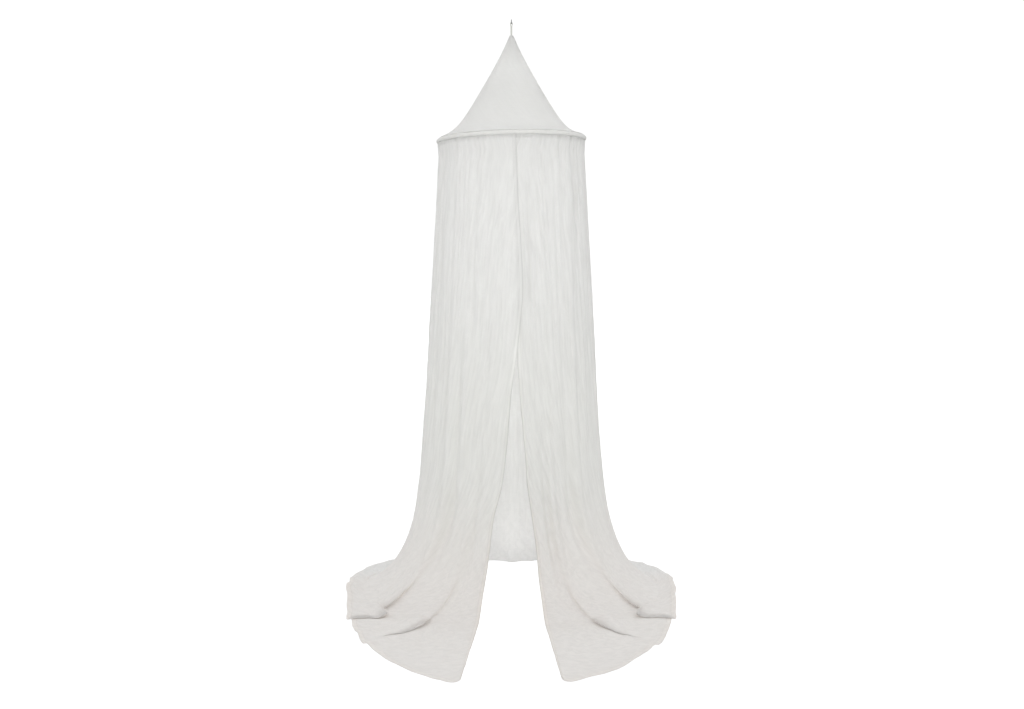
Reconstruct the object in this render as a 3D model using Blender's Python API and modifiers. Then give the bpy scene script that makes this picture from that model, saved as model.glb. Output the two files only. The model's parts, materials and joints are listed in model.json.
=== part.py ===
"""Bed canopy of plain white mosquito-net cloth on one hoop, hung from a small ring.

Metres, +Z up. The origin is where the ceiling hook bears in the ring, the open front faces -Y
and the cloth spreads over the floor far below.
"""
from collections import namedtuple
import math

import bmesh
import bpy

# Heights, measured down from the hook
APEX_Z = -0.052
HOOP_Z = -0.392
FLOOR_Z = -1.914

# Hanging ring and the cord loop through it
RING_RADIUS = 0.0060        # to the middle of the wire
RING_WIRE = 0.003
CORD_DIAMETER = 0.0026
CORD_SEWN = 0.018           # length of each end that lies on the crown
CORD_CLOSES = 0.012         # the two runs are side by side down to this height over the tip
CORD_PARTS = 0.003          # and part round the tip this far from it
CORD_PINCH = 0.0002         # how much closer they come on the way

# Hoop and the cloth casing round it
HOOP_RADIUS = 0.2435        # to the middle of the rod
HOOP_TILT = math.radians(1.35)  # the right side hangs higher
ROD_DIAMETER = 0.010
CASING_DIAMETER = 0.013
CASING_THICK = 0.0011
CASING_SLIT = math.radians(24)  # open seam under the rod
HOOP_STEPS = 36
HOOP_SIDES = 8

# Cloth
SHEET = 0.0016
GAP = 0.0003
SEAM = 0.0012               # from the casing down to the drape's upper edge

# Crown: a hollow cone that runs out onto the hoop. Its reach is a straight part, a part that
# grows with the square of the depth, and a rim that turns out at the very end.
CROWN_STRAIGHT = 0.71
CROWN_HOLLOW = 0.11
CROWN_RIM = 0.18
RIM_POWER = 16
RIM_TILT_POWER = 4          # how late the cone takes up the hoop's tilt
CROWN_STEPS = 28
CROWN_ROWS = 7
CROWN_ROW_POWER = 1.5       # rows closer together towards the hoop

# The drape, in heights above the floor
HANGING_ROWS = 11
HANGING_ROW_POWER = 1.9     # rows closer together towards the floor
FLOOR_ROWS = 6
PLAIN_STEP = 7.7            # degrees of hoop between its columns, outside a fold
COLUMN_SPARE_FROM = 110     # degrees: behind this the columns are spaced to end at the back
DRAPE_TOP = HOOP_Z - CASING_DIAMETER / 2 - SEAM - FLOOR_Z
DRAPE_RADIUS = 0.2385       # under the casing
FLARE_EVEN = 0.33           # share of the spread that comes evenly on the way down
FLARE_HEIGHT = 0.12         # the rest comes in a sweep of about this height
FOOT_SOFT = 0.008           # how softly the cloth turns onto the floor
FOOT_SLOPE = 0.6
FOLD_HEIGHT = 0.30          # the laid folds begin to lean over below this height
FOLD_FOOT = 0.45            # share of their shift where the cloth meets the floor
FOLD_BEND = 0.36            # the two bends of a fold, in half widths from its middle
BEND_HALF = 0.16
BEND_SHARE = 0.37           # of the lift at each bend, with the rest on the slope between
SETTLE_FROM = 0.9           # half widths past a fold where the cloth comes down again
SETTLE_RUN = 2.2
LIFT_AT_FOOT = 0.5          # share of a fold's lift where it meets the floor
LIFT_FULL = 3               # it is whole at one part in this of the way to the hem
LIFT_LOSS = 0.2             # share lost again at the hem
RELIEF_FADE = 0.35          # metres over which a fold's relief dies out upwards
RIDGE_FADE = 0.25
RIDGE_KEPT = 0.2            # how far a ridge stays on at its upper end
LAP_FROM = 0.72             # the left front panel covers the right one above this height
LAP_RISE = 0.14
LAP_OFFSET = 0.0028
LAP_TURN = 16               # degrees
EDGE_PULL = 35              # degrees of hoop over which the front edges draw the cloth
CORNER_ROUND = 0.026
CORNER_TURN = 1.7

# How each strand turns on its way out, in degrees from the middle of the front: at the hoop,
# where it meets the floor, and at its hem
Strand = namedtuple("Strand", "hoop foot hem")
STRANDS = (
    Strand(0.0, 14.7, 9.0),
    Strand(10.0, 24.0, 19.5),
    Strand(19.5, 35.0, 36.5),
    Strand(29.0, 45.0, 46.5),
    Strand(39.0, 54.0, 55.5),
    Strand(60.0, 68.0, 69.0),
    Strand(90.0, 91.0, 92.0),
    Strand(115.0, 114.0, 115.0),
    Strand(135.0, 134.0, 135.0),
    Strand(155.0, 155.0, 155.0),
    Strand(180.0, 180.0, 180.0),
)

# How far from the axis the cloth meets the floor, and its hem lies, by the turn there
Outline = namedtuple("Outline", "turn foot hem")
OUTLINE = (
    Outline(9.0, 0.393, 0.898),
    Outline(19.5, 0.397, 0.839),
    Outline(28.0, 0.405, 0.779),
    Outline(36.0, 0.428, 0.727),
    Outline(44.0, 0.452, 0.675),
    Outline(54.0, 0.480, 0.626),
    Outline(66.0, 0.498, 0.584),
    Outline(79.0, 0.503, 0.562),
    Outline(92.0, 0.505, 0.569),
    Outline(113.0, 0.488, 0.580),
    Outline(129.0, 0.455, 0.550),
    Outline(150.0, 0.370, 0.420),
    Outline(180.0, 0.300, 0.314),
)

# The two front edges: sideways place at each height, plus to the right
Edge = namedtuple("Edge", "height left right")
EDGES = (
    Edge(0.00, -0.100, 0.103),
    Edge(0.10, -0.086, 0.091),
    Edge(0.19, -0.072, 0.083),
    Edge(0.30, -0.058, 0.068),
    Edge(0.40, -0.032, 0.053),
    Edge(0.51, -0.017, 0.045),
    Edge(0.70, 0.000, 0.027),
    Edge(0.82, 0.016, 0.019),
    Edge(0.99, 0.031, 0.014),
    Edge(1.15, 0.027, 0.008),
    Edge(1.36, 0.016, 0.000),
    Edge(1.60, 0.010, -0.004),
)

# Laid folds, the far side always lying over the front side. Place and half width are in
# degrees of hoop, the shift in degrees of floor, the rest in metres.
Fold = namedtuple("Fold", "side hoop half shift lift relief height columns")
FOLDS = (
    Fold("left", 19.5, 7.0, 6.6, 0.022, 0.007, 0.55, 12),
    Fold("left", 39.0, 8.0, 7.1, 0.027, 0.011, 0.90, 12),
    Fold("left", 96.0, 7.0, 4.6, 0.016, 0.003, 0.25, 9),
    Fold("right", 19.0, 7.0, 6.4, 0.022, 0.008, 0.60, 12),
    Fold("right", 39.5, 8.0, 7.2, 0.025, 0.010, 0.80, 12),
    Fold("right", 97.0, 7.0, 4.8, 0.016, 0.003, 0.25, 9),
)

# Long soft ridges (plus) and valleys (minus) of the hanging cloth
Ridge = namedtuple("Ridge", "side hoop half out low high")
RIDGES = (
    Ridge("left", 13.0, 6.0, 0.005, 0.08, 0.60),
    Ridge("left", 29.0, 8.0, 0.008, 0.06, 0.95),
    Ridge("left", 58.0, 12.0, -0.005, 0.20, 1.30),
    Ridge("left", 76.0, 10.0, 0.004, 0.10, 1.10),
    Ridge("left", 118.0, 14.0, -0.007, 0.15, 1.45),
    Ridge("left", 150.0, 13.0, 0.008, 0.05, 1.30),
    Ridge("right", 9.0, 6.0, -0.004, 0.75, 1.35),
    Ridge("right", 28.5, 8.0, 0.008, 0.06, 0.85),
    Ridge("right", 46.0, 9.0, 0.005, 0.95, 1.50),
    Ridge("right", 57.0, 8.0, -0.006, 0.80, 1.50),
    Ridge("right", 75.0, 11.0, 0.005, 0.10, 1.20),
    Ridge("right", 112.0, 15.0, 0.006, 0.10, 1.35),
    Ridge("right", 142.0, 13.0, -0.007, 0.10, 1.40),
)


def clamp(value, low=0.0, high=1.0):
    return min(max(value, low), high)


def ease(value):
    """0 to 1 with soft ends."""
    value = clamp(value)
    return value * value * (3 - 2 * value)


def bell(value):
    """1 in the middle, 0 from -1 and 1 outwards."""
    return 0.5 + 0.5 * math.cos(math.pi * clamp(value, -1.0, 1.0))


def along(rows, key, column, value):
    """One column of a table at a value of its key, on a smooth curve through the rows."""
    places = [getattr(row, key) for row in rows]
    values = [getattr(row, column) for row in rows]
    value = clamp(value, places[0], places[-1])
    last = len(rows) - 1
    i = max(k for k in range(last) if places[k] <= value)
    slopes = []
    for k in (i, i + 1):
        before, after = max(k - 1, 0), min(k + 1, last)
        slopes.append((values[after] - values[before]) / (places[after] - places[before]))
    span = places[i + 1] - places[i]
    t = (value - places[i]) / span
    start = (1 + 2 * t) * (1 - t) ** 2 * values[i] + t * (1 - t) ** 2 * span * slopes[0]
    end = t * t * (3 - 2 * t) * values[i + 1] - t * t * (1 - t) * span * slopes[1]
    return start + end


def tilt_rise(x):
    return x * math.tan(HOOP_TILT)


def make_material(name, colour, roughness, metallic=0.0):
    material = bpy.data.materials.new(name)
    material.use_nodes = True
    shader = material.node_tree.nodes["Principled BSDF"]
    shader.inputs["Base Color"].default_value = (*colour, 1.0)
    shader.inputs["Roughness"].default_value = roughness
    shader.inputs["Metallic"].default_value = metallic
    return material


def add_object(name, mesh, material, collection):
    for face in mesh.polygons:
        face.use_smooth = True
    mesh.materials.append(material)
    made = bpy.data.objects.new(name, mesh)
    collection.objects.link(made)
    return made


def mesh_from(name, shape):
    mesh = bpy.data.meshes.new(name)
    shape.to_mesh(mesh)
    shape.free()
    return mesh


def add_sheet(made, thickness, offset=0.0):
    solid = made.modifiers.new("Thickness", "SOLIDIFY")
    solid.thickness = thickness
    solid.offset = offset
    return solid


def turned(name, profile, steps, closed):
    """A profile of (reach, height) points turned round the Z axis, not thickened yet."""
    shape = bmesh.new()
    points = [shape.verts.new((reach, 0.0, height)) for reach, height in profile]
    edges = [shape.edges.new(pair) for pair in zip(points, points[1:])]
    if closed:
        edges.append(shape.edges.new((points[-1], points[0])))
    bmesh.ops.spin(shape, geom=points + edges, cent=(0, 0, 0), axis=(0, 0, 1),
                   angle=2 * math.pi, steps=steps, use_merge=True)
    bmesh.ops.remove_doubles(shape, verts=shape.verts, dist=1e-6)
    bmesh.ops.recalc_face_normals(shape, faces=shape.faces)
    return mesh_from(name, shape)


def build_ring(material, collection):
    """Split steel ring, edge on to the front. Its inner top is the origin."""
    middle = -(RING_RADIUS - RING_WIRE / 2)
    bpy.ops.mesh.primitive_torus_add(major_radius=RING_RADIUS, minor_radius=RING_WIRE / 2,
                                     major_segments=28, minor_segments=10,
                                     location=(0, 0, middle), rotation=(0, math.pi / 2, 0))
    ring = bpy.context.active_object
    ring.name = ring.data.name = "hanging_ring"
    for owner in list(ring.users_collection):
        owner.objects.unlink(ring)
    collection.objects.link(ring)
    ring.data.materials.append(material)
    for face in ring.data.polygons:
        face.use_smooth = True


def crown_profile(depth):
    """Reach of the crown at a share of its depth."""
    hollow = CROWN_STRAIGHT * depth + CROWN_HOLLOW * depth ** 2
    return HOOP_RADIUS * (hollow + CROWN_RIM * depth ** RIM_POWER)


def crown_height():
    rim = HOOP_Z + CASING_DIAMETER / 2 + GAP + SHEET / 2
    return APEX_Z - rim


def build_loop(material, collection):
    """Cord over the ring's lower wire, its two ends sewn down the sides of the crown."""
    wire_z = -(RING_RADIUS - RING_WIRE / 2) - RING_RADIUS
    turn = RING_WIRE / 2 + GAP + CORD_DIAMETER / 2
    slope = math.atan(crown_profile(0.1) / (0.1 * crown_height()))
    clear = (SHEET / 2 + GAP + CORD_DIAMETER / 2) / math.cos(slope)
    half = [(turn * math.sin(a), wire_z + turn * math.cos(a))
            for a in (math.radians(degrees) for degrees in range(0, 91, 15))]
    half.append((turn, APEX_Z + CORD_CLOSES))
    half.append((turn - CORD_PINCH, APEX_Z + CORD_PARTS))
    half += [(clear + along_it * math.sin(slope), APEX_Z - along_it * math.cos(slope))
             for along_it in (CORD_PARTS, (CORD_PARTS + CORD_SEWN) / 2, CORD_SEWN)]
    path = [(-x, z) for x, z in reversed(half[1:])] + half
    curve = bpy.data.curves.new("hanging_loop", "CURVE")
    curve.dimensions = "3D"
    curve.bevel_depth = CORD_DIAMETER / 2
    curve.bevel_resolution = 2
    curve.use_fill_caps = True
    spline = curve.splines.new("POLY")
    spline.points.add(len(path) - 1)
    for point, (x, z) in zip(spline.points, path):
        point.co = (x, 0.0, z, 1.0)
    curve.materials.append(material)
    collection.objects.link(bpy.data.objects.new("hanging_loop", curve))


def build_crown(material, collection):
    """Cone of one taut sheet from the loop to the hoop."""
    shares = [1 - (1 - row / CROWN_ROWS) ** CROWN_ROW_POWER for row in range(CROWN_ROWS + 1)]
    profile = [(crown_profile(share), APEX_Z - share * crown_height()) for share in shares]
    mesh = turned("crown", profile, CROWN_STEPS, closed=False)
    for point in mesh.vertices:
        rim = math.hypot(point.co.x, point.co.y) / HOOP_RADIUS
        point.co.z += tilt_rise(point.co.x) * rim ** RIM_TILT_POWER
    add_sheet(add_object("crown", mesh, material, collection), SHEET)


def build_hoop(rod_material, cloth_material, collection):
    """Rod of the hoop and the casing sewn round it, open along a slit underneath."""
    level = bpy.data.objects.new("hoop_level", None)
    level.location = (0, 0, HOOP_Z)
    level.rotation_euler = (0, -HOOP_TILT, 0)
    collection.objects.link(level)

    rod = ROD_DIAMETER / 2
    circle = [(HOOP_RADIUS + rod * math.cos(a), rod * math.sin(a))
              for a in (2 * math.pi * k / HOOP_SIDES for k in range(HOOP_SIDES))]
    hoop = add_object("hoop", turned("hoop", circle, HOOP_STEPS, closed=True),
                      rod_material, collection)
    hoop.parent = level

    middle = CASING_DIAMETER / 2 - CASING_THICK / 2
    start = -math.pi / 2 + CASING_SLIT / 2
    sweep = 2 * math.pi - CASING_SLIT
    section = [(HOOP_RADIUS + middle * math.cos(a), middle * math.sin(a))
               for a in (start + sweep * k / HOOP_SIDES for k in range(HOOP_SIDES + 1))]
    casing = add_object("hoop_casing", turned("hoop_casing", section, HOOP_STEPS, closed=False),
                        cloth_material, collection)
    casing.parent = level
    add_sheet(casing, CASING_THICK)


def columns_of(side):
    """Hoop angles of the drape's columns on one side: close together in a fold."""
    folds = [fold for fold in FOLDS if fold.side == side]
    angles = [0.0, CORNER_TURN / 2, CORNER_TURN]
    while angles[-1] < 180:
        here = angles[-1]
        inside = [fold for fold in folds if abs(here - fold.hoop) < fold.half]
        ahead = [fold.hoop - fold.half - here for fold in folds if fold.hoop - fold.half > here]
        if inside:
            angles.append(here + 2 * inside[0].half / inside[0].columns)
        else:
            angles.append(here + min([PLAIN_STEP] + [gap + 0.01 for gap in ahead]))
    spare = angles[-1] - 180
    return [angle - spare * ease((angle - COLUMN_SPARE_FROM) / (180 - COLUMN_SPARE_FROM))
            for angle in angles]


def rows_of():
    """(height above the floor, share of the way from foot to hem) of the drape's rows."""
    hanging = [(DRAPE_TOP * (1 - row / HANGING_ROWS) ** HANGING_ROW_POWER, 0.0)
               for row in range(HANGING_ROWS)]
    return hanging + [(0.0, row / FLOOR_ROWS) for row in range(FLOOR_ROWS + 1)]


def spread(height):
    """Share of a strand's spread that it has reached at a height."""
    even = FLARE_EVEN * (1 - height / DRAPE_TOP)
    return even + (1 - FLARE_EVEN) * math.exp(-height / FLARE_HEIGHT)


def polar(turn, reach):
    """(across, forward), across counted away from the middle."""
    return reach * math.sin(math.radians(turn)), reach * math.cos(math.radians(turn))


def hanging_place(side, hoop, height, shift):
    """Where a strand hangs in plan."""
    share = spread(height)
    turn = hoop + (along(STRANDS, "hoop", "foot", hoop) - hoop) * share
    turn += shift * FOLD_FOOT * ease(1 - height / FOLD_HEIGHT)
    reach = DRAPE_RADIUS + (along(OUTLINE, "turn", "foot", turn) - DRAPE_RADIUS) * share
    if hoop < EDGE_PULL:
        sign = -1 if side == "left" else 1
        edge_x = sign * along(EDGES, "height", side, height)
        first = STRANDS[0].foot * share
        turn += (math.degrees(math.asin(edge_x / reach)) - first) * (1 - hoop / EDGE_PULL) ** 2
    return polar(turn, reach)


def hem_place(hoop, shift):
    turn = along(STRANDS, "hoop", "hem", hoop) + shift
    reach = along(OUTLINE, "turn", "hem", turn)
    inside = 1 - clamp(hoop / CORNER_TURN)
    return polar(turn, reach - CORNER_ROUND * (1 - math.sqrt(1 - inside ** 2)))


def fold_rise(across):
    """Share of a laid fold's lift: a round bend, a slope back over it and a second bend."""
    first = ease((across + FOLD_BEND + BEND_HALF) / (2 * BEND_HALF))
    second = ease((across - FOLD_BEND + BEND_HALF) / (2 * BEND_HALF))
    slope = clamp((across + FOLD_BEND) / (2 * FOLD_BEND))
    return BEND_SHARE * (first + second) + (1 - 2 * BEND_SHARE) * slope


def fold_shape(side, hoop, height, out):
    """(shift, outward, lift) that the laid folds give a strand, in degrees and metres."""
    shift = outward = lift = 0.0
    for fold in FOLDS:
        across = (hoop - fold.hoop) / fold.half
        if fold.side != side or across < -1:
            continue
        wave = math.sin(math.pi * across) * (1 - across ** 2) if across < 1 else 0.0
        shift -= fold.shift * wave
        outward += fold.relief * wave * ease((fold.height - height) / RELIEF_FADE)
        rise = fold_rise(across) * (1 - ease((across - SETTLE_FROM) / SETTLE_RUN))
        grown = LIFT_AT_FOOT + (1 - LIFT_AT_FOOT) * ease(LIFT_FULL * out)
        grown *= ease(1 - height / FOLD_HEIGHT) * (1 - LIFT_LOSS * out)
        lift += fold.lift * rise * grown
    return shift, outward, lift


def soft_ridges(side, hoop, height):
    total = 0.0
    for ridge in RIDGES:
        if ridge.side == side:
            begun = ease((height - ridge.low) / RIDGE_FADE)
            ended = ease((ridge.high - height) / RIDGE_FADE + RIDGE_KEPT)
            total += ridge.out * bell((hoop - ridge.hoop) / ridge.half) * begun * ended
    return total


def drape_point(side, hoop, height, out):
    shift, outward, lift = fold_shape(side, hoop, height, out)
    across, forward = hanging_place(side, hoop, height, shift)
    run = 0.0
    if out:
        hem = hem_place(hoop, shift)
        run = out * math.hypot(hem[0] - across, hem[1] - forward)
        across += (hem[0] - across) * out
        forward += (hem[1] - forward) * out
    outward += soft_ridges(side, hoop, height)
    lap = ease((height - LAP_FROM) / LAP_RISE) * bell(hoop / LAP_TURN)
    outward += LAP_OFFSET * lap * (1 if side == "left" else -1)
    reach = math.hypot(across, forward)
    x = across * (1 + outward / reach) * (-1 if side == "left" else 1)
    y = -forward * (1 + outward / reach)
    down = (height - FOOT_SLOPE * run) / FOOT_SOFT
    rise = FOOT_SOFT * math.log1p(math.exp(down)) if down < 30 else height
    z = FLOOR_Z + SHEET / 2 + rise + lift + tilt_rise(x) * ease(height / DRAPE_TOP)
    return x, y, z


def build_drape(material, collection):
    """The hanging cloth: one sheet round the hoop, open down the front, spread on the floor."""
    left = [("left", angle) for angle in columns_of("left")]
    right = [("right", angle) for angle in reversed(columns_of("right")[:-1])]
    columns = left + right
    rows = rows_of()
    shape = bmesh.new()
    bmesh.ops.create_grid(shape, x_segments=len(columns) - 1, y_segments=len(rows) - 1, size=0.5)
    for point in shape.verts:
        side, hoop = columns[round((point.co.x + 0.5) * (len(columns) - 1))]
        height, out = rows[round((0.5 - point.co.y) * (len(rows) - 1))]
        point.co = drape_point(side, hoop, height, out)
    drape = add_object("drape", mesh_from("drape", shape), material, collection)
    add_sheet(drape, SHEET)


def main():
    for old in list(bpy.data.objects):
        bpy.data.objects.remove(old)
    collection = bpy.data.collections.new("mosquito_net_canopy")
    bpy.context.scene.collection.children.link(collection)
    cloth = make_material("white_net_cloth", (0.80, 0.80, 0.77), 0.9)
    cord = make_material("loop_cord", (0.74, 0.75, 0.69), 0.85)
    steel = make_material("ring_steel", (0.42, 0.42, 0.43), 0.35, metallic=1.0)
    rod = make_material("hoop_rod", (0.70, 0.70, 0.68), 0.5)
    build_ring(steel, collection)
    build_loop(cord, collection)
    build_crown(cloth, collection)
    build_hoop(rod, cloth, collection)
    build_drape(cloth, collection)


main()
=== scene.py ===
import json
import math
import random

import bpy
import numpy as np
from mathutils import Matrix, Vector, noise

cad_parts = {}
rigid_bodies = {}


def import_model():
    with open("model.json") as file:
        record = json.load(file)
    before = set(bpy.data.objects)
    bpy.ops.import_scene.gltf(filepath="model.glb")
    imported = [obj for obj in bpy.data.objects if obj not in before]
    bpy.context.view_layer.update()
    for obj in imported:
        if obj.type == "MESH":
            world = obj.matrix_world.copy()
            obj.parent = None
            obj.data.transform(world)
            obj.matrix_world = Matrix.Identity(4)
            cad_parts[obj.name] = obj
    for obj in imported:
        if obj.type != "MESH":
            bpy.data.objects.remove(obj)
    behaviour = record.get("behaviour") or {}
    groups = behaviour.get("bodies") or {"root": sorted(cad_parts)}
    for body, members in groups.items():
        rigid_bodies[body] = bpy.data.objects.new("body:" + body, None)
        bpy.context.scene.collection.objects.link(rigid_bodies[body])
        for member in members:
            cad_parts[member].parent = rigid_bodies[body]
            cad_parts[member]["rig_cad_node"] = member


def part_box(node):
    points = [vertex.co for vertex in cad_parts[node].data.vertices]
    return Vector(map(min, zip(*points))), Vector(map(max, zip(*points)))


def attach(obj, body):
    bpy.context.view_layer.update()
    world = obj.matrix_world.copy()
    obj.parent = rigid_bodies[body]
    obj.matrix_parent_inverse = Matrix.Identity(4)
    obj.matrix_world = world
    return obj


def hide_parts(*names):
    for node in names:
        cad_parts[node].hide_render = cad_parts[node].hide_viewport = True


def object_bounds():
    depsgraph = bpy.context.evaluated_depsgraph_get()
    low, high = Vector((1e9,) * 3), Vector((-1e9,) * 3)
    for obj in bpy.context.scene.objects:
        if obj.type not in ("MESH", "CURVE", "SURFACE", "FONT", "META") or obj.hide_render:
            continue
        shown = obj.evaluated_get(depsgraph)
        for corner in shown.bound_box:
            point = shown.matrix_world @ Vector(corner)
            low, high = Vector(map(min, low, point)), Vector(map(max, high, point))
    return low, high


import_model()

# Places read from the frame: everything hangs from the hook at the origin
cadBox = [[float(v) for v in corner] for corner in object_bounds()]
floorZ = cadBox[0][2]
casingLow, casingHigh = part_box("hoop_casing")
hoopZ = (casingLow[2] + casingHigh[2]) / 2
hoopTilt = math.radians(1.35)  # the right side hangs higher


def freshSelection():
    if bpy.context.object and bpy.context.object.mode != "OBJECT":
        bpy.ops.object.mode_set(mode="OBJECT")
    bpy.ops.object.select_all(action="DESELECT")


def useModifier(piece, kind, **settings):
    modifier = piece.modifiers.new(kind.title(), kind)
    for key, value in settings.items():
        setattr(modifier, key, value)
    bpy.context.view_layer.objects.active = piece
    bpy.ops.object.modifier_apply(modifier=modifier.name)


def ease(x):
    x = np.clip(x, 0.0, 1.0)
    return x * x * (3 - 2 * x)


def bell(x):
    return 0.5 + 0.5 * np.cos(np.pi * np.clip(x, -1.0, 1.0))


def readTable(rows, key, column, x):
    # a smooth curve through one column of a table
    places = np.array([row[key] for row in rows], float)
    values = np.array([row[column] for row in rows], float)
    x = np.clip(x, places[0], places[-1])
    i = np.clip(np.searchsorted(places, x, side="right") - 1, 0, len(rows) - 2)
    slopes = np.empty(len(rows))
    slopes[1:-1] = (values[2:] - values[:-2]) / (places[2:] - places[:-2])
    slopes[0] = (values[1] - values[0]) / (places[1] - places[0])
    slopes[-1] = (values[-1] - values[-2]) / (places[-1] - places[-2])
    span = places[i + 1] - places[i]
    t = (x - places[i]) / span
    start = (1 + 2 * t) * (1 - t) ** 2 * values[i] + t * (1 - t) ** 2 * span * slopes[i]
    return start + t * t * (3 - 2 * t) * values[i + 1] - t * t * (1 - t) * span * slopes[i + 1]


# the cloth's finish; the other finishes are below it
clothLook = {
    "colour": (0.800, 0.802, 0.781),
    "shade": (0.786, 0.784, 0.764),     # the yellower tone in its clouds
    "midTint": (0.985, 0.991, 0.969),   # a little yellower below the middle
    "midFrom": -0.70,
    "midTo": -1.40,
    "lowTint": (1.062, 0.983, 0.973),   # warmer where it lies on the floor
    "lowFrom": -1.45,                   # the warmth comes in below this height
    "backFrom": 0.05,                   # from here to there the tints fade out towards the back
    "backTo": 0.20,
    "backTint": 0.15,                   # and the back panel keeps this share of them
    "hemPaintedLight": 1.02,                   # the hem bands are painted a little paler, as painted light that offsets the shade of the thicker, doubled hem
    "paintedEdgeShade": (0.0015, 0.0055),        # painted shade: an edge is darker from here inwards to there, where it turns inwards into shade
    "roughness": 0.92,
    "sheen": 0.05,
    "through": 0.004,                   # metres that light goes in the thin cloth
    "cloudScale": 9.0,
    "threadPitch": 0.0011,              # metres from thread to thread
    "weaveDepth": 0.00012,
    "warpSlubs": (620.0, 26.0, 1.0),    # how closely they follow, across and along the threads
    "weftSlubs": (22.0, 560.0, 1.0),
    "slubDepth": 0.00035,
    "slubTone": (0.965, 1.03),
    "uprightCrinkles": (95.0, 7.0, 1.0),    # of the hanging cloth
    "floorCrinkles": (48.0, 34.0, 1.0),     # of the cloth on the floor
    "crinkleDepth": 0.0013,
    "creaseShadeAndLight": (0.050, 0.022),       # painted shade in the hollows of the crinkles, painted light on their crests
    "stitchPitch": 0.0032,
    "stitchHalf": (0.0003, 0.0009),     # a stitch is full up to here, and ends there
    "stitchDepth": 0.0007,
    "stitchTone": 0.86,
}

# the turned hems: the attribute that holds the way in from that edge, the hem's width, where its
# stitches run, their direction in the cloth (0 across, 1 down), and how dark the very edge is painted, as
# painted shade
clothHems = [
    {"line": "hemLine", "wide": 0.0175, "stitches": 0.0165, "along": 0, "edge": 1.0},
    {"line": "edgeLine", "wide": 0.0125, "stitches": 0.0115, "along": 1, "edge": 0.86},
]


def newMaterial(name, roughness, sheen=0.0, metallic=0.0):
    made = bpy.data.materials.new(name)
    made.use_nodes = True
    shader = made.node_tree.nodes["Principled BSDF"]
    shader.inputs["Roughness"].default_value = roughness
    shader.inputs["Metallic"].default_value = metallic
    shader.inputs["Sheen Weight"].default_value = sheen
    shader.inputs["Sheen Roughness"].default_value = 0.5
    shader.inputs["Specular IOR Level"].default_value = 0.25
    return made, shader


def addNode(tree, kind, settings=None, **inputs):
    # inputs go by name with _ for a space, or by number as i0, i1
    node = tree.nodes.new(kind)
    for key, value in (settings or {}).items():
        setattr(node, key, value)
    for key, value in inputs.items():
        numbered = key[0] == "i" and key[1:].isdigit()
        socket = node.inputs[int(key[1:]) if numbered else key.replace("_", " ")]
        if isinstance(value, bpy.types.NodeSocket):
            tree.links.new(value, socket)
        else:
            socket.default_value = value
    return node


def maths(tree, operation, a, b=0.0):
    return addNode(tree, "ShaderNodeMath", {"operation": operation}, i0=a, i1=b).outputs[0]


def scaled(tree, colour, amount):
    return addNode(tree, "ShaderNodeVectorMath", {"operation": "SCALE"}, i0=colour, Scale=amount).outputs[0]


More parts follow.
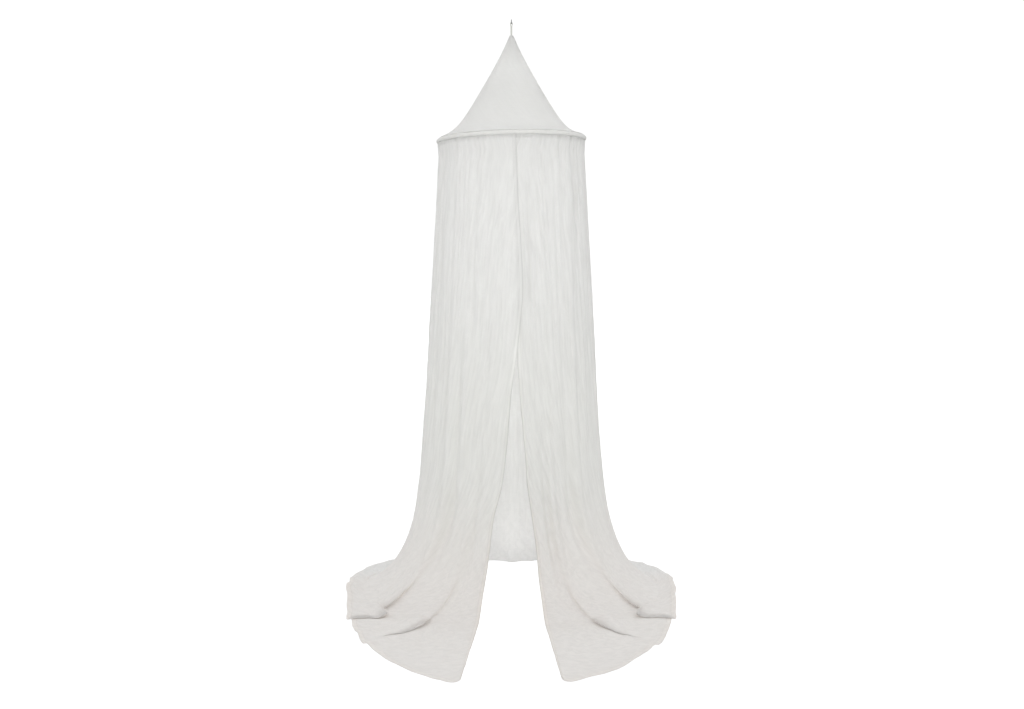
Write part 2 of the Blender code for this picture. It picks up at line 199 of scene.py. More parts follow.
def clothMaterial(name, look, paintedShade=1.0, crinkle=1.0, stitched=False):
    made, shader = newMaterial(name, look["roughness"], look["sheen"])
    shader.inputs["Subsurface Weight"].default_value = 1.0
    shader.inputs["Subsurface Radius"].default_value = (1, 1, 1)
    shader.inputs["Subsurface Scale"].default_value = look["through"]
    tree = made.node_tree
    uv = addNode(tree, "ShaderNodeUVMap", {"uv_map": "cloth"}).outputs[0]
    # clouds of tone, and slubs along both threads
    clouds = addNode(tree, "ShaderNodeTexNoise", Vector=uv, Scale=look["cloudScale"], Detail=4.0,
                     Roughness=0.6)
    warp = addNode(tree, "ShaderNodeMapping", Vector=uv, Scale=look["warpSlubs"]).outputs[0]
    weft = addNode(tree, "ShaderNodeMapping", Vector=uv, Scale=look["weftSlubs"]).outputs[0]
    warpSlub = addNode(tree, "ShaderNodeTexNoise", Vector=warp, Scale=1.0, Detail=2.0).outputs[0]
    weftSlub = addNode(tree, "ShaderNodeTexNoise", Vector=weft, Scale=1.0, Detail=2.0).outputs[0]
    slubs = maths(tree, "MULTIPLY", maths(tree, "ADD", warpSlub, weftSlub), 0.5)
    ramp = addNode(tree, "ShaderNodeValToRGB", Fac=clouds.outputs[0])
    ramp.color_ramp.elements[0].position = 0.30
    ramp.color_ramp.elements[1].position = 0.70
    # paintedShade darkens the whole colour, as painted shade for the crown's and the casing's copies of the
    # cloth
    ramp.color_ramp.elements[0].color = (*[v * paintedShade for v in look["shade"]], 1)
    ramp.color_ramp.elements[1].color = (*[v * paintedShade for v in look["colour"]], 1)
    darkest, palest = look["slubTone"]
    tone = addNode(tree, "ShaderNodeMapRange", {}, Value=slubs, From_Min=0.3, From_Max=0.7,
                   To_Min=darkest, To_Max=palest).outputs[0]
    colour = scaled(tree, ramp.outputs[0], tone)
    place = addNode(tree, "ShaderNodeTexCoord").outputs["Object"]
    place = addNode(tree, "ShaderNodeSeparateXYZ", Vector=place).outputs
    soft = {"interpolation_type": "SMOOTHSTEP"}
    low = addNode(tree, "ShaderNodeMapRange", soft, Value=place[2], From_Min=look["lowFrom"],
                  From_Max=floorZ).outputs[0]
    spread = addNode(tree, "ShaderNodeMapRange", {}, Value=place[1], From_Min=look["backFrom"],
                     From_Max=look["backTo"], To_Min=1.0, To_Max=look["backTint"]).outputs[0]
    middle = addNode(tree, "ShaderNodeMapRange", soft, Value=place[2], From_Min=look["midFrom"],
                     From_Max=look["midTo"]).outputs[0]
    for share, tintName in ((middle, "midTint"), (low, "lowTint")):
        share = maths(tree, "MULTIPLY", share, spread)      # the back panel keeps its colour
        mixed = addNode(tree, "ShaderNodeMix", {"data_type": "RGBA"}, i0=share)
        mixed.inputs[6].default_value = (1, 1, 1, 1)
        mixed.inputs[7].default_value = (*look[tintName], 1)
        colour = addNode(tree, "ShaderNodeVectorMath", {"operation": "MULTIPLY"}, i0=colour,
                         i1=mixed.outputs[2]).outputs[0]
    # plain weave, crinkles and slubs in relief
    thread = math.pi / look["threadPitch"]
    parts = addNode(tree, "ShaderNodeSeparateXYZ", Vector=uv).outputs
    across = maths(tree, "SINE", maths(tree, "MULTIPLY", parts[0], thread))
    down = maths(tree, "SINE", maths(tree, "MULTIPLY", parts[1], thread))
    weave = maths(tree, "MULTIPLY", across, down)
    relief = addNode(tree, "ShaderNodeBump", Height=weave, Distance=look["weaveDepth"], Strength=0.6)
    relief = addNode(tree, "ShaderNodeBump", Height=slubs, Distance=look["slubDepth"],
                     Normal=relief.outputs[0])
    upright = addNode(tree, "ShaderNodeMapping", Vector=uv, Scale=look["uprightCrinkles"]).outputs[0]
    upright = addNode(tree, "ShaderNodeTexNoise", Vector=upright, Scale=1.0, Detail=4.0,
                      Roughness=0.55, Distortion=0.4).outputs[0]
    anyWay = addNode(tree, "ShaderNodeMapping", Vector=uv, Scale=look["floorCrinkles"]).outputs[0]
    anyWay = addNode(tree, "ShaderNodeTexNoise", Vector=anyWay, Scale=1.0, Detail=5.0,
                     Roughness=0.6, Distortion=0.8).outputs[0]
    creases = addNode(tree, "ShaderNodeMix", {}, i0=low, i2=upright, i3=anyWay).outputs[0]
    relief = addNode(tree, "ShaderNodeBump", Height=creases,
                     Distance=look["crinkleDepth"] * crinkle, Normal=relief.outputs[0])
    # painted shade in the crinkles' hollows and painted light on their crests, which the bump alone hardly
    # shades
    hollow, paintedCrestLight = look["creaseShadeAndLight"]
    shaded = addNode(tree, "ShaderNodeMapRange", {}, Value=creases, From_Min=0.36, From_Max=0.62,
                     To_Min=1 - hollow * crinkle, To_Max=1 + paintedCrestLight * crinkle).outputs[0]
    colour = scaled(tree, colour, shaded)
    if stitched:
        relief, colour = addStitches(tree, look, relief, colour)
    tree.links.new(colour, shader.inputs["Base Color"])
    tree.links.new(relief.outputs[0], shader.inputs["Normal"])
    return made


def addStitches(tree, look, relief, colour):
    # rows of machine stitches along the hem and the two front edges
    hem = None
    # the hem bands are painted a little paler, as painted light, and the front edges darker near the very
    # edge, as painted shade where the edge turns inwards
    edgeShadeFrom, edgeShadeTo = look["paintedEdgeShade"]
    for turned in clothHems:
        away = addNode(tree, "ShaderNodeAttribute", {"attribute_name": turned["line"]}).outputs["Fac"]
        paintedBandTone = addNode(tree, "ShaderNodeMapRange", {}, Value=away, From_Min=turned["wide"] - 0.001,
                       From_Max=turned["wide"] + 0.001, To_Min=look["hemPaintedLight"], To_Max=1.0).outputs[0]
        edge = addNode(tree, "ShaderNodeMapRange", {"interpolation_type": "SMOOTHSTEP"}, Value=away,
                       From_Min=edgeShadeFrom, From_Max=edgeShadeTo, To_Min=turned["edge"], To_Max=1.0).outputs[0]
        paintedBandTone = maths(tree, "MULTIPLY", paintedBandTone, edge)
        hem = paintedBandTone if hem is None else maths(tree, "MULTIPLY", hem, paintedBandTone)
    colour = scaled(tree, colour, hem)
    height = None
    full, ends = look["stitchHalf"]
    for turned in clothHems:
        uv = addNode(tree, "ShaderNodeUVMap", {"uv_map": "cloth"}).outputs[0]
        run = addNode(tree, "ShaderNodeSeparateXYZ", Vector=uv).outputs[turned["along"]]
        away = addNode(tree, "ShaderNodeAttribute", {"attribute_name": turned["line"]}).outputs["Fac"]
        off = maths(tree, "ABSOLUTE", maths(tree, "SUBTRACT", away, turned["stitches"]))
        near = addNode(tree, "ShaderNodeMapRange", {}, Value=off, From_Min=full, From_Max=ends,
                       To_Min=1.0, To_Max=0.0).outputs[0]
        dash = maths(tree, "SINE", maths(tree, "MULTIPLY", run, 2 * math.pi / look["stitchPitch"]))
        dash = addNode(tree, "ShaderNodeMapRange", {}, Value=dash, From_Min=-0.5, From_Max=0.2,
                       To_Min=0.15, To_Max=1.0).outputs[0]
        stitch = maths(tree, "MULTIPLY", near, dash)
        height = stitch if height is None else maths(tree, "MAXIMUM", height, stitch)
    relief = addNode(tree, "ShaderNodeBump", {"invert": True}, Height=height,
                     Distance=look["stitchDepth"], Normal=relief.outputs[0])
    darker = addNode(tree, "ShaderNodeMapRange", {}, Value=height, To_Min=1.0,
                     To_Max=look["stitchTone"]).outputs[0]
    colour = scaled(tree, colour, darker)
    return relief, colour


# steel, plastic and cord: a fine grain of two tones, in relief, on the piece's own coordinates
plainLooks = {
    "drawnSteel": {"roughness": 0.32, "sheen": 0.0, "metallic": 1.0, "grain": 900.0, "depth": 0.00004,
                   "darker": (0.20, 0.20, 0.205), "paler": (0.42, 0.42, 0.43),
                   "uneven": (0.24, 0.48)},     # its roughness from streak to streak
    "hoopPlastic": {"roughness": 0.45, "sheen": 0.0, "metallic": 0.0, "grain": 240.0, "depth": 0.0001,
                    "darker": (0.62, 0.62, 0.60), "paler": (0.70, 0.70, 0.68), "uneven": None},
    "cottonCord": {"roughness": 0.9, "sheen": 0.2, "metallic": 0.0, "grain": 2600.0, "depth": 0.00008,
                   "darker": (0.60, 0.615, 0.56), "paler": (0.74, 0.75, 0.69), "uneven": None},
}


def plainMaterial(name):
    look = plainLooks[name]
    made, shader = newMaterial(name, look["roughness"], look["sheen"], look["metallic"])
    tree = made.node_tree
    place = addNode(tree, "ShaderNodeTexCoord").outputs["Object"]
    grain = addNode(tree, "ShaderNodeTexNoise", Vector=place, Scale=look["grain"], Detail=3.0).outputs[0]
    ramp = addNode(tree, "ShaderNodeValToRGB", Fac=grain)
    ramp.color_ramp.elements[0].color = (*look["darker"], 1)
    ramp.color_ramp.elements[1].color = (*look["paler"], 1)
    if look["uneven"]:
        least, most = look["uneven"]
        rough = addNode(tree, "ShaderNodeMapRange", {}, Value=grain, To_Min=least, To_Max=most)
        tree.links.new(rough.outputs[0], shader.inputs["Roughness"])
    bump = addNode(tree, "ShaderNodeBump", Height=grain, Distance=look["depth"])
    tree.links.new(ramp.outputs[0], shader.inputs["Base Color"])
    tree.links.new(bump.outputs[0], shader.inputs["Normal"])
    return made


# the long cloth under the hoop
drapeCloth = {
    "top": hoopZ - 0.0075 - floorZ,     # height of its upper edge over the floor
    "reach": 0.2385,                    # from the middle out to the cloth, at the top
    "topFlare": 0.0050,                 # it comes out this much to meet the casing
    "topFlareTall": 0.045,
    "sheet": 0.0016,                    # room it takes up on the floor
    "thin": 0.0007,
    "hemThick": 0.0013,
    "hemWide": clothHems[0]["wide"],
    "edgeHemWide": clothHems[1]["wide"],
    "hangingRows": 104,
    "rowPower": 1.45,                   # rows closer together towards the floor
    "floorRows": 40,
    "edgeColumns": [0.0, 0.25, 0.5, 0.8, 1.15, 1.5],    # degrees of hoop, at the front edges
    "edgeStep": 0.45,                   # degrees between the next columns, up to this hoop angle
    "edgeZone": 6,
    "frontStep": 1.2,
    "frontZone": 105,
    "backStep": 2.2,
    "foldStep": 0.72,
    "flareEven": 0.33,                  # share of the flare that is even all the way down
    "flareHeight": 0.12,                # the rest of it comes in at about this height
    "footSoft": 0.008,                  # how softly it turns from hanging to lying
    "footSlope": 0.6,
    "foldHeight": 0.17,                 # a laid fold starts at this height
    "foldHanging": 0.28,                # share of its lift before it meets the floor
    "foldFoot": 0.64,                   # share of a fold's shift at the foot, and at the hem
    "foldHem": 0.56,
    "foldReach": 2.3,                   # it turns the cloth beside it this many halves wide
    "deepShift": 2.0,                   # a fold's extra shift where it is deepest, in degrees
    "deepFrom": 0.22,                   # share of the way out by which that is there in full
    "lipDroop": 0.10,                   # the upper lip hangs down this share of the lift
    "lipHalf": 0.34,
    "pressed": 0.78,                    # how much of the lift is gone towards the hem
    "pressFrom": 0.3,
    "foldBend": 0.28,                   # place of a fold's two bends, in halves from its middle
    "bendHalf": 0.12,
    "bendRise": 0.37,                   # share of the lift at each bend; the rest is between them
    "reliefFade": 0.35,                 # its relief fades over this height, on the hanging cloth
    "swingHeight": 0.08,                # its swing is greatest at this height
    "swingTall": 0.17,
    "doubledSide": 1.3,                 # relief is calm this near a fold, in halves,
    "doubledFade": 0.5,
    "doubledHeight": 0.22,              # and below this height
    "doubledTall": 0.12,
    "doubledCalm": 0.95,                # by this share
    "longFade": 0.25,                   # the long soft folds come in and go out over this height
    "lapFrom": 0.72,                    # over this height the left edge lies over the right one
    "lapRise": 0.14,
    "lapOffset": 0.0042,
    "lapThinner": 0.62,                 # the lap lies closer near the hoop
    "lapThinFrom": 1.20,
    "lapThinTall": 0.15,
    "lapTurn": 16,                      # degrees of hoop that the lap reaches
    "edgeCurl": 0.0085,                 # how far the front edges turn in below the lap
    "edgeCurlTurn": 2.4,
    "edgePull": 35,                     # degrees of hoop that the edges' places draw along
    "hemWave": 0.003,                   # unevenness of the hem
    "hemWaves": 0.11,
    "cornerRound": 0.030,               # the front corners are rounded off by this much
    "cornerTurn": 2.0,
}

# how each strand turns on its way out, degrees from the middle of the front
strands = [
    {"hoop": 0.0, "foot": 14.7, "hem": 9.0},
    {"hoop": 10.0, "foot": 24.0, "hem": 19.5},
    {"hoop": 19.5, "foot": 35.0, "hem": 36.5},
    {"hoop": 29.0, "foot": 45.0, "hem": 46.5},
    {"hoop": 39.0, "foot": 54.0, "hem": 55.5},
    {"hoop": 60.0, "foot": 68.0, "hem": 69.0},
    {"hoop": 90.0, "foot": 91.0, "hem": 92.0},
    {"hoop": 115.0, "foot": 114.0, "hem": 115.0},
    {"hoop": 135.0, "foot": 134.0, "hem": 135.0},
    {"hoop": 155.0, "foot": 155.0, "hem": 155.0},
    {"hoop": 180.0, "foot": 180.0, "hem": 180.0},
]

# how far out the cloth meets the floor and ends, by the turn there
floorOutline = [
    {"turn": 9.0, "foot": 0.393, "hem": 0.898},
    {"turn": 19.5, "foot": 0.397, "hem": 0.839},
    {"turn": 28.0, "foot": 0.405, "hem": 0.779},
    {"turn": 36.0, "foot": 0.428, "hem": 0.727},
    {"turn": 44.0, "foot": 0.452, "hem": 0.675},
    {"turn": 54.0, "foot": 0.480, "hem": 0.626},
    {"turn": 66.0, "foot": 0.498, "hem": 0.584},
    {"turn": 79.0, "foot": 0.503, "hem": 0.562},
    {"turn": 92.0, "foot": 0.505, "hem": 0.569},
    {"turn": 113.0, "foot": 0.488, "hem": 0.580},
    {"turn": 129.0, "foot": 0.455, "hem": 0.550},
    {"turn": 150.0, "foot": 0.370, "hem": 0.420},
    {"turn": 180.0, "foot": 0.300, "hem": 0.314},
]

# sideways place of the two front edges at each height, plus to the right
frontEdges = [
    {"height": 0.00, "left": -0.100, "right": 0.103},
    {"height": 0.10, "left": -0.086, "right": 0.091},
    {"height": 0.19, "left": -0.072, "right": 0.083},
    {"height": 0.30, "left": -0.058, "right": 0.068},
    {"height": 0.40, "left": -0.032, "right": 0.053},
    {"height": 0.51, "left": -0.017, "right": 0.045},
    {"height": 0.70, "left": 0.000, "right": 0.027},
    {"height": 0.82, "left": 0.017, "right": 0.0185},
    {"height": 0.99, "left": 0.034, "right": 0.019},
    {"height": 1.06, "left": 0.036, "right": 0.019},
    {"height": 1.15, "left": 0.032, "right": 0.017},
    {"height": 1.34, "left": 0.021, "right": 0.010},
    {"height": 1.60, "left": 0.012, "right": 0.003},
]

# folds laid over on the floor, the far side over the front side; bow is how far their middle
# turns forward on the floor, and swing how far it turns back over it, in degrees; by press,
# a share of the way out, the fold lies flat, and over settle, in halves from its middle, the
# cloth on top comes down again, before the next fold; deep is where it opens out again
laidFolds = [
    {"side": "left", "hoop": 19.5, "half": 7.0, "shift": 5.0, "lift": 0.017, "relief": 0.007,
     "height": 0.55, "bow": 2.5, "swing": 1.0, "press": 0.50,
     "settle": (0.60, 1.62), "deep": (0.40, 0.85)},
    {"side": "left", "hoop": 39.0, "half": 8.0, "shift": 5.6, "lift": 0.020, "relief": 0.011,
     "height": 0.90, "bow": 7.0, "swing": 5.0, "press": 0.42,
     "settle": (0.90, 3.10), "deep": (0.14, 0.56)},
    {"side": "left", "hoop": 96.0, "half": 7.0, "shift": 2.4, "lift": 0.006, "relief": 0.003,
     "height": 0.25, "bow": 0.0, "swing": 0.0, "press": 0.40,
     "settle": (0.90, 3.10), "deep": (0.0, 0.10)},
    {"side": "right", "hoop": 19.0, "half": 7.0, "shift": 4.9, "lift": 0.017, "relief": 0.008,
     "height": 0.60, "bow": 2.0, "swing": 1.0, "press": 0.50,
     "settle": (0.60, 1.62), "deep": (0.40, 0.85)},
    {"side": "right", "hoop": 39.5, "half": 8.0, "shift": 5.7, "lift": 0.020, "relief": 0.010,
     "height": 0.80, "bow": 6.6, "swing": 5.0, "press": 0.42,
     "settle": (0.90, 3.10), "deep": (0.14, 0.56)},
    {"side": "right", "hoop": 97.0, "half": 7.0, "shift": 2.5, "lift": 0.006, "relief": 0.003,
     "height": 0.25, "bow": 0.0, "swing": 0.0, "press": 0.40,
     "settle": (0.90, 3.10), "deep": (0.0, 0.10)},
]

# long soft ridges and valleys of the hanging cloth; drift is degrees per metre on the way down
longFolds = [
    {"side": "left", "hoop": 13.0, "half": 6.0, "out": 0.005, "low": 0.08, "high": 0.60, "drift": 0},
    {"side": "left", "hoop": 29.0, "half": 8.0, "out": 0.008, "low": 0.06, "high": 0.95, "drift": 0},
    {"side": "left", "hoop": 31.0, "half": 8.5, "out": -0.013, "low": -0.02, "high": 0.46, "drift": 26},
    {"side": "left", "hoop": 58.0, "half": 12.0, "out": -0.005, "low": 0.20, "high": 1.30, "drift": 0},
    {"side": "left", "hoop": 76.0, "half": 10.0, "out": 0.004, "low": 0.10, "high": 1.10, "drift": 0},
    {"side": "left", "hoop": 118.0, "half": 14.0, "out": -0.007, "low": 0.15, "high": 1.45, "drift": 0},
    {"side": "left", "hoop": 150.0, "half": 13.0, "out": 0.008, "low": 0.05, "high": 1.30, "drift": 0},
    {"side": "right", "hoop": 9.0, "half": 6.0, "out": -0.004, "low": 0.75, "high": 1.35, "drift": 0},
    {"side": "right", "hoop": 28.5, "half": 8.0, "out": 0.008, "low": 0.06, "high": 0.85, "drift": 0},
    {"side": "right", "hoop": 31.5, "half": 8.5, "out": -0.013, "low": -0.02, "high": 0.48, "drift": 26},
    {"side": "right", "hoop": 46.0, "half": 9.0, "out": 0.005, "low": 0.95, "high": 1.50, "drift": 0},
    {"side": "right", "hoop": 57.0, "half": 8.0, "out": -0.006, "low": 0.80, "high": 1.50, "drift": 0},
    {"side": "right", "hoop": 75.0, "half": 11.0, "out": 0.005, "low": 0.10, "high": 1.20, "drift": 0},
    {"side": "right", "hoop": 112.0, "half": 15.0, "out": 0.006, "low": 0.10, "high": 1.35, "drift": 0},
    {"side": "right", "hoop": 142.0, "half": 13.0, "out": -0.007, "low": 0.10, "high": 1.40, "drift": 0},
]

# fine gathers that run down from the hoop, each a long narrow ridge or valley
gathers = {
    "seed": 29,
    "count": 150,
    "half": (1.9, 4.0),         # degrees of hoop
    "out": (0.0009, 0.0027),
    "long": (0.22, 1.30),
    "fromHoop": 0.55,           # share of them that start at the hoop
    "drift": 1.2,               # degrees they lean at most
    "fade": 0.18,               # they come in and go out over this height
    "clearFade": 0.10,          # and so do those that stand out
    "waves": 58,                # even gathers round the hoop, under the uneven ones
    "waveOut": 0.0024,
    "waveUneven": 2.6,
    "waveLow": 0.45,            # they fade out below this height
    "waveTall": 0.7,
    "edgeShare": 0.35,          # share of all these that is left at the front edges
    "edgeWide": (3, 8),         # degrees of hoop where that starts to end, and over which it ends
    "lapCalm": 0.9,             # and the lap is calmer by this share
    "lapWide": (13, 5),
    "creaseTall": 0.010,
    "creaseLean": 0.0012,
    "pucker": 0.0011,           # tight puckers under the casing
    "puckerTall": 0.07,
    "swell": 0.0012,            # broad unevenness between them
    "crinkle": 0.0026,          # small crinkles, most on the floor
    "crinkleSize": 0.034,
    "floorStreak": 0.0036,      # creases that run out over the floor
    "streakTurn": 3.4,          # degrees from one to the next
    "streakLong": 0.16,
    "floorFrom": (0.36, 0.10),  # reach at which they come in, and over which
}

# the gathers and creases that stand out: drift is degrees per metre on the way down
clearGathers = [
    {"side": "right", "hoop": 38.0, "half": 3.0, "out": -0.0050, "low": 1.32, "high": 1.60, "drift": 14},
    {"side": "right", "hoop": 42.5, "half": 2.4, "out": -0.0044, "low": 1.24, "high": 1.52, "drift": 3},
    {"side": "right", "hoop": 47.0, "half": 3.0, "out": 0.0040, "low": 1.20, "high": 1.60, "drift": 6},
    {"side": "right", "hoop": 51.0, "half": 3.2, "out": -0.0068, "low": 1.20, "high": 1.60, "drift": 18},
    {"side": "right", "hoop": 57.0, "half": 3.0, "out": 0.0044, "low": 1.22, "high": 1.60, "drift": 12},
    {"side": "right", "hoop": 62.0, "half": 3.2, "out": -0.0060, "low": 1.26, "high": 1.60, "drift": 10},
    {"side": "right", "hoop": 71.0, "half": 3.4, "out": -0.0062, "low": 1.34, "high": 1.60, "drift": 6},
    {"side": "right", "hoop": 30.0, "half": 2.6, "out": -0.0044, "low": 1.22, "high": 1.36, "drift": 0},
    {"side": "right", "hoop": 22.0, "half": 2.4, "out": 0.0036, "low": 1.05, "high": 1.42, "drift": 0},
    {"side": "left", "hoop": 63.0, "half": 5.0, "out": -0.0044, "low": 0.95, "high": 1.46, "drift": 0},
    {"side": "left", "hoop": 52.0, "half": 3.2, "out": 0.0036, "low": 0.90, "high": 1.50, "drift": 3},
    {"side": "left", "hoop": 38.0, "half": 2.6, "out": -0.0034, "low": 1.10, "high": 1.50, "drift": 0},
    {"side": "left", "hoop": 28.0, "half": 2.6, "out": -0.0034, "low": 0.95, "high": 1.30, "drift": 5},
    {"side": "left", "hoop": 23.0, "half": 2.6, "out": 0.0034, "low": 0.90, "high": 1.32, "drift": 6},
    {"side": "left", "hoop": 3.0, "half": 4.4, "out": 0.0012, "low": 1.10, "high": 1.50, "drift": 0},
    {"side": "left", "hoop": 9.4, "half": 2.2, "out": -0.0020, "low": 1.05, "high": 1.40, "drift": 0},
    {"side": "left", "hoop": 3.2, "half": 1.5, "out": 0.0020, "low": 0.80, "high": 1.02, "drift": 18},
    {"side": "left", "hoop": 5.4, "half": 1.4, "out": -0.0018, "low": 0.80, "high": 1.00, "drift": 24},
    {"side": "left", "hoop": 7.4, "half": 1.5, "out": 0.0018, "low": 0.76, "high": 1.00, "drift": 28},
    {"side": "right", "hoop": 8.0, "half": 2.6, "out": -0.0060, "low": 0.95, "high": 1.34, "drift": 0},
    {"side": "right", "hoop": 12.5, "half": 2.4, "out": 0.0028, "low": 0.85, "high": 1.30, "drift": 0},
    {"side": "left", "hoop": 57.0, "half": 4.4, "out": 0.0038, "low": 0.45, "high": 1.25, "drift": 0},
    {"side": "left", "hoop": 17.5, "half": 3.4, "out": -0.0050, "low": 0.08, "high": 0.50, "drift": 0},
    {"side": "right", "hoop": 17.5, "half": 3.4, "out": -0.0050, "low": 0.08, "high": 0.55, "drift": 0},
    {"side": "left", "hoop": 22.5, "half": 3.6, "out": 0.0040, "low": 0.12, "high": 0.60, "drift": 0},
    {"side": "right", "hoop": 22.5, "half": 3.6, "out": 0.0040, "low": 0.12, "high": 0.60, "drift": 0},
    {"side": "right", "hoop": 55.0, "half": 4.4, "out": 0.0034, "low": 0.50, "high": 1.10, "drift": 0},
]

# short level creases left from packing, by height and hoop
packCreases = [
    {"side": "left", "hoop": 15.0, "height": 0.560, "wide": 7, "out": 0.0016},
    {"side": "right", "hoop": 15.0, "height": 0.562, "wide": 7, "out": 0.0016},
    {"side": "left", "hoop": 13.0, "height": 0.505, "wide": 6, "out": 0.0014},
    {"side": "right", "hoop": 14.0, "height": 0.500, "wide": 6, "out": 0.0014},
    {"side": "left", "hoop": 14.5, "height": 0.375, "wide": 6, "out": -0.0018},
    {"side": "right", "hoop": 14.0, "height": 0.372, "wide": 6, "out": 0.0015},
    {"side": "left", "hoop": 13.0, "height": 0.318, "wide": 8, "out": 0.0018},
    {"side": "right", "hoop": 15.0, "height": 0.325, "wide": 8, "out": 0.0018},
    {"side": "left", "hoop": 12.5, "height": 0.272, "wide": 8, "out": 0.0018},
    {"side": "right", "hoop": 14.5, "height": 0.268, "wide": 8, "out": 0.0018},
    {"side": "left", "hoop": 58.0, "height": 0.560, "wide": 9, "out": 0.0014},
    {"side": "right", "hoop": 60.0, "height": 0.520, "wide": 9, "out": 0.0014},
    {"side": "left", "hoop": 66.0, "height": 0.470, "wide": 8, "out": 0.0013},
    {"side": "right", "hoop": 52.0, "height": 0.480, "wide": 8, "out": -0.0013},
    {"side": "left", "hoop": 48.0, "height": 0.400, "wide": 8, "out": 0.0013},
    {"side": "right", "hoop": 66.0, "height": 0.390, "wide": 9, "out": 0.0014},
]


def wander(place, seed):
    # smooth uneven values between -1 and 1 along a line
    flat = np.asarray(place, float).reshape(-1)
    values = np.array([noise.noise(Vector((spot, seed, 0.5))) for spot in flat])
    return 1.6 * values.reshape(np.shape(place))


def wanderFlat(u, v, seed):
    # the same over a surface
    u, v = np.broadcast_arrays(u, v)
    values = [noise.noise(Vector((a, b, seed))) for a, b in zip(u.reshape(-1), v.reshape(-1))]
    return 1.6 * np.array(values).reshape(u.shape)


def drapeColumns(side):
    # hoop angles of the columns on one side, close together in a laid fold
    d = drapeCloth
    folds = [fold for fold in laidFolds if fold["side"] == side]
    angles = list(d["edgeColumns"])
    while angles[-1] < 180:
        here = angles[-1]
        if any(abs(here - fold["hoop"]) < 1.05 * fold["half"] for fold in folds):
            step = d["foldStep"]
        elif here < d["edgeZone"]:
            step = d["edgeStep"]
        else:
            step = d["frontStep"] if here < d["frontZone"] else d["backStep"]
        angles.append(here + step)
    spare = angles[-1] - 180    # taken off over the last third, so that the back column is at 180
    return [angle - spare * float(ease((angle - 120) / 60)) for angle in angles]


def drapeRows():
    # height over the floor, and share of the way from foot to hem
    count = drapeCloth["hangingRows"]
    hanging = [(drapeCloth["top"] * (1 - row / count) ** drapeCloth["rowPower"], 0.0)
               for row in range(count)]
    count = drapeCloth["floorRows"]
    return hanging + [(0.0, row / count) for row in range(count + 1)]


def foldShape(side, hoop, height, out):
    # shift, bow and swing turn the cloth, in degrees; outward and lift are metres
    d = drapeCloth
    shift = np.zeros_like(hoop + height)
    outward, lift, bow, swing = (np.zeros_like(shift) for made in range(4))
    bend, half, atBend = d["foldBend"], d["bendHalf"], d["bendRise"]
    hanging, pressFrom = d["foldHanging"], d["pressFrom"]
    grown = ease(1 - height / d["foldHeight"]) * (hanging + (1 - hanging) * ease(8 * out))
    swung = np.exp(-((height - d["swingHeight"]) / d["swingTall"]) ** 2)
    for fold in [fold for fold in laidFolds if fold["side"] == side]:
        across = (hoop - fold["hoop"]) / fold["half"]
        inside = np.abs(across) < 1
        wave = np.where(inside, np.sin(np.pi * across) * (1 - across ** 2), 0.0)
        shift = shift - fold["shift"] * wave
        outward = outward + fold["relief"] * wave * ease((fold["height"] - height) / d["reliefFade"])
        first = ease((across + bend + half) / (2 * half))
        second = ease((across - bend + half) / (2 * half))
        slope = np.clip((across + bend) / (2 * bend), 0, 1)
        settled = ease((across - fold["settle"][0]) / (fold["settle"][1] - fold["settle"][0]))
        rise = (atBend * first + (1 - 2 * atBend) * slope + atBend * second) * (1 - settled)
        rise = rise - d["lipDroop"] * bell((across - bend) / d["lipHalf"])
        pressed = 1 - d["pressed"] * ease((out / fold["press"] - pressFrom) / (1 - pressFrom))
        lift = lift + fold["lift"] * rise * grown * pressed
        around = bell(across / d["foldReach"])
        bow = bow + fold["bow"] * around * np.sin(np.pi * np.sqrt(out)) ** 2
        opened = ease((out - fold["deep"][0]) / (fold["deep"][1] - fold["deep"][0]))
        bow = bow + d["deepShift"] * wave * ease(out / d["deepFrom"]) * (1 - opened)
        swing = swing + fold["swing"] * around * swung
    return shift, outward, lift, bow, swing


def longFoldRelief(side, hoop, height):
    total = np.zeros_like(hoop + height)
    fade = drapeCloth["longFade"]
    for fold in [fold for fold in longFolds if fold["side"] == side]:
        inside = ease((height - fold["low"]) / fade) * ease((fold["high"] - height) / fade + 0.2)
        middle = fold["hoop"] + fold["drift"] * (fold["high"] - height)
        total = total + fold["out"] * bell((hoop - middle) / fold["half"]) * inside
    return total


